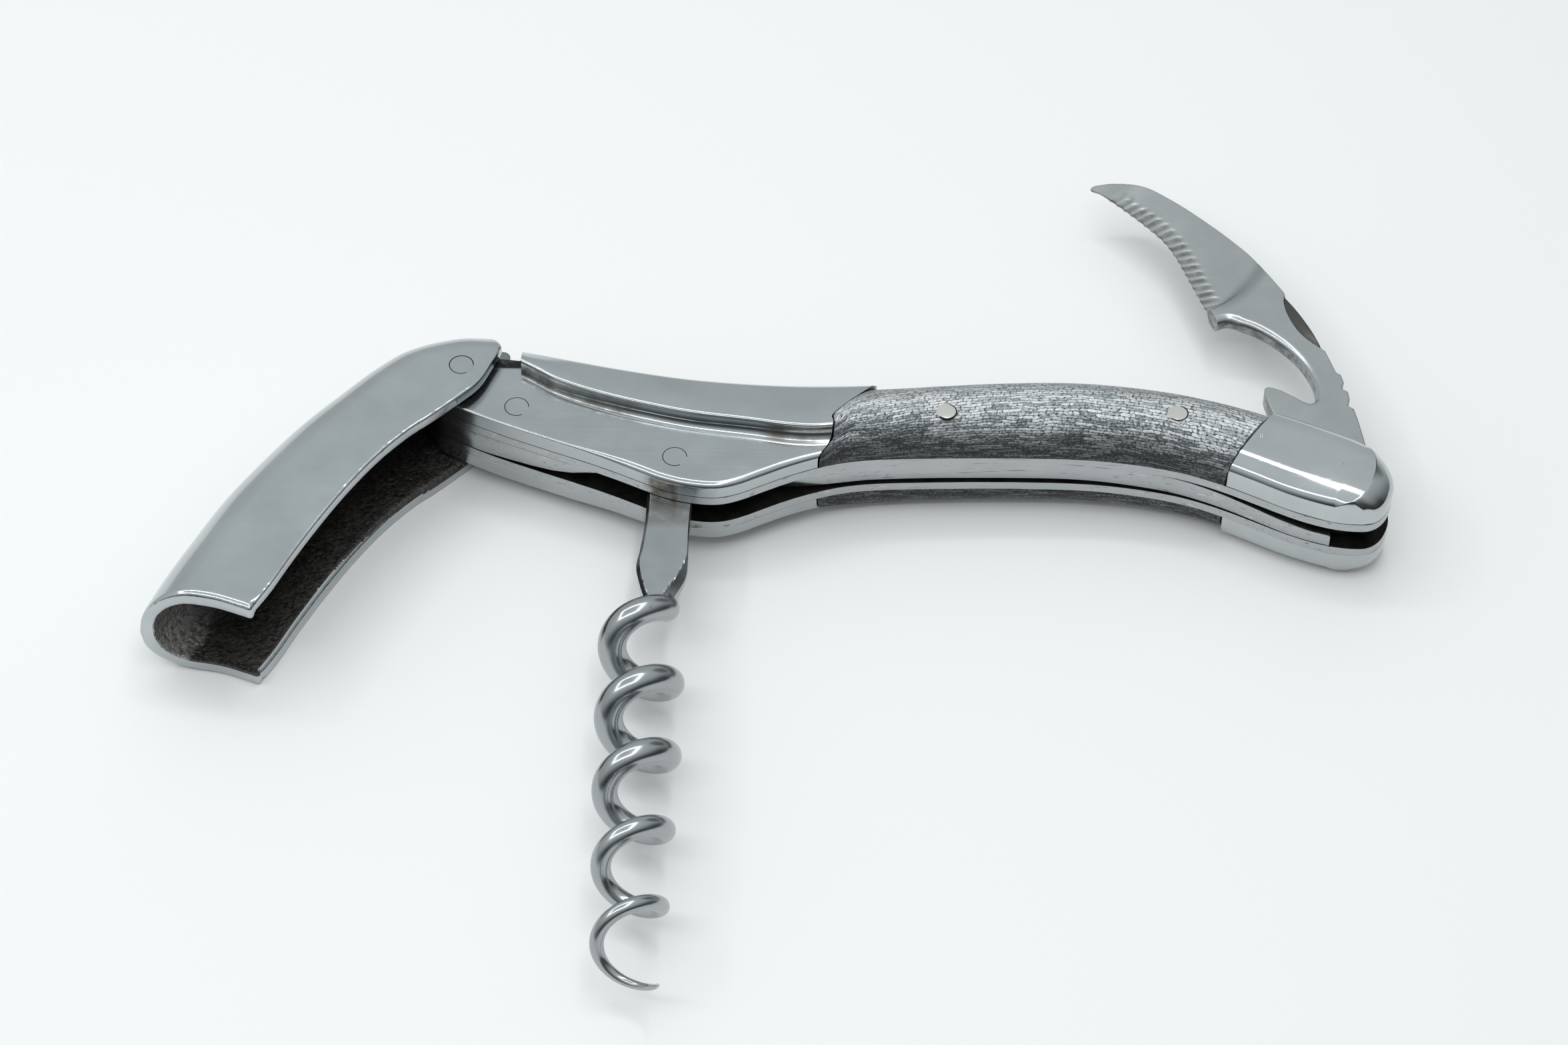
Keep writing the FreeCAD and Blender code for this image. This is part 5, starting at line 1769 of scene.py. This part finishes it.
    # rounded point
    tip = pts[-1, :3] + (pts[-1, :3] - pts[-2, :3]) / np.linalg.norm(
        pts[-1, :3] - pts[-2, :3]) * 0.05
    v.append(tip)
    o = (n - 1) * k
    for j in range(k):
        f.append((o + j, o + (j + 1) % k, len(v) - 1))
    make("worm_wire", v, f, "worm", M_WORM, sharp=50,
         merge=0)


build_worm()

# ======================================================================
# Carried CAD nodes
# ======================================================================
def paint(node, m):
    o = nodes[node]
    o.data.materials.clear()
    o.data.materials.append(m)


for n in ("near_liner", "far_liner"):
    paint(n, M_LINER)
paint("blade_pin", M_PIN)

# ======================================================================
# Stage and light
# ======================================================================
def stage():
    bpy.context.scene.view_settings.view_transform = "Standard"
    me = bpy.data.meshes.new("floor")
    S = 3.0
    me.from_pydata([(-S, -S, 0), (S, -S, 0), (S, S, 0), (-S, S, 0)], [],
                   [(0, 1, 2, 3)])
    fl = bpy.data.objects.new("floor", me)
    bpy.context.scene.collection.objects.link(fl)
    m, nt, b = new_mat("floor_paper")
    b.inputs["Base Color"].default_value = (0.93, 0.93, 0.93, 1)
    b.inputs["Roughness"].default_value = 0.75
    me.materials.append(m)
    w = bpy.data.worlds.new("studio")
    bpy.context.scene.world = w
    w.use_nodes = True
    nt = w.node_tree
    bg = nt.nodes["Background"]
    tc = N(nt, "ShaderNodeTexCoord")
    sp = N(nt, "ShaderNodeSeparateXYZ")
    nt.links.new(tc.outputs["Generated"], sp.inputs[0])
    up = ramp(nt, [(0.0, 0.22), (0.14, 0.30), (0.38, 0.56), (0.62, 0.70),
                   (0.80, 0.70), (1.0, 0.78)], sp.outputs[2])
    # the dark open side of the tent: low, in front and to the right
    fr = math_n(nt, "SUBTRACT", math_n(nt, "MULTIPLY", sp.outputs[0], 0.55),
                math_n(nt, "MULTIPLY", sp.outputs[1], 0.83))
    dk = ramp(nt, [(0.10, 0.0), (0.55, 1.0)], fr)
    lowz = ramp(nt, [(0.30, 1.0), (0.75, 0.0)], sp.outputs[2])
    dark = math_n(nt, "MULTIPLY", dk.outputs[0], lowz.outputs[0])
    keep = math_n(nt, "SUBTRACT", 1.0, math_n(nt, "MULTIPLY", dark, 0.80))
    # behind and to the left the tent comes right down to the table
    upb = ramp(nt, [(0.0, 0.60), (0.30, 0.62), (0.62, 0.70),
                    (0.80, 0.70), (1.0, 0.78)], sp.outputs[2])
    side_ = ramp(nt, [(-0.0, 0.0), (0.42, 1.0)], math_n(
        nt, "ADD", fr, 0.22))
    upm = N(nt, "ShaderNodeMix")
    upm.data_type = "FLOAT"
    nt.links.new(side_.outputs[0], upm.inputs[0])
    nt.links.new(upb.outputs[0], upm.inputs[2])
    nt.links.new(up.outputs[0], upm.inputs[3])
    val = math_n(nt, "MULTIPLY", upm.outputs[0], keep)
    # the dark edge of the tent, to the right and behind
    dt = N(nt, "ShaderNodeVectorMath")
    dt.operation = "DOT_PRODUCT"
    nt.links.new(tc.outputs["Generated"], dt.inputs[0])
    dt.inputs[1].default_value = (0.62, 0.66, 0.42)
    blob = ramp(nt, [(0.935, 1.0), (0.975, 0.30)], dt.outputs["Value"])
    val = math_n(nt, "MULTIPLY", val, blob.outputs[0])
    tint = mixc(nt, 1.0, val, (0.94, 1.0, 1.015), "MULTIPLY")
    nt.links.new(tint, bg.inputs[0])
    bg.inputs[1].default_value = 1.0

    def area(name, loc, target, size, size_y, energy, color=(1, 1, 1)):
        L = bpy.data.lights.new(name, "AREA")
        L.shape = "RECTANGLE"
        L.size = size
        L.size_y = size_y
        L.energy = energy
        L.color = color
        o = bpy.data.objects.new(name, L)
        o.location = loc
        dv = Vector(target) - Vector(loc)
        o.rotation_euler = dv.to_track_quat("-Z", "Y").to_euler()
        bpy.context.scene.collection.objects.link(o)
        return o
    # a square frame of light strips overhead
    cx, cy, h, hx, hy, wd = -0.16, -0.02, 0.46, 0.23, 0.20, 0.045
    p = 0.36
    area("strip_back", (cx, cy + hy, h), (cx, cy + hy, 0), 2 * hx, wd, p)
    area("strip_front", (cx, cy - hy, h), (cx, cy - hy, 0), 2 * hx, wd, p)
    area("strip_left", (cx - hx, cy, h), (cx - hx, cy, 0), wd, 2 * hy, p)
    area("strip_right", (cx + hx, cy, h), (cx + hx, cy, 0), wd, 2 * hy, p)


stage()
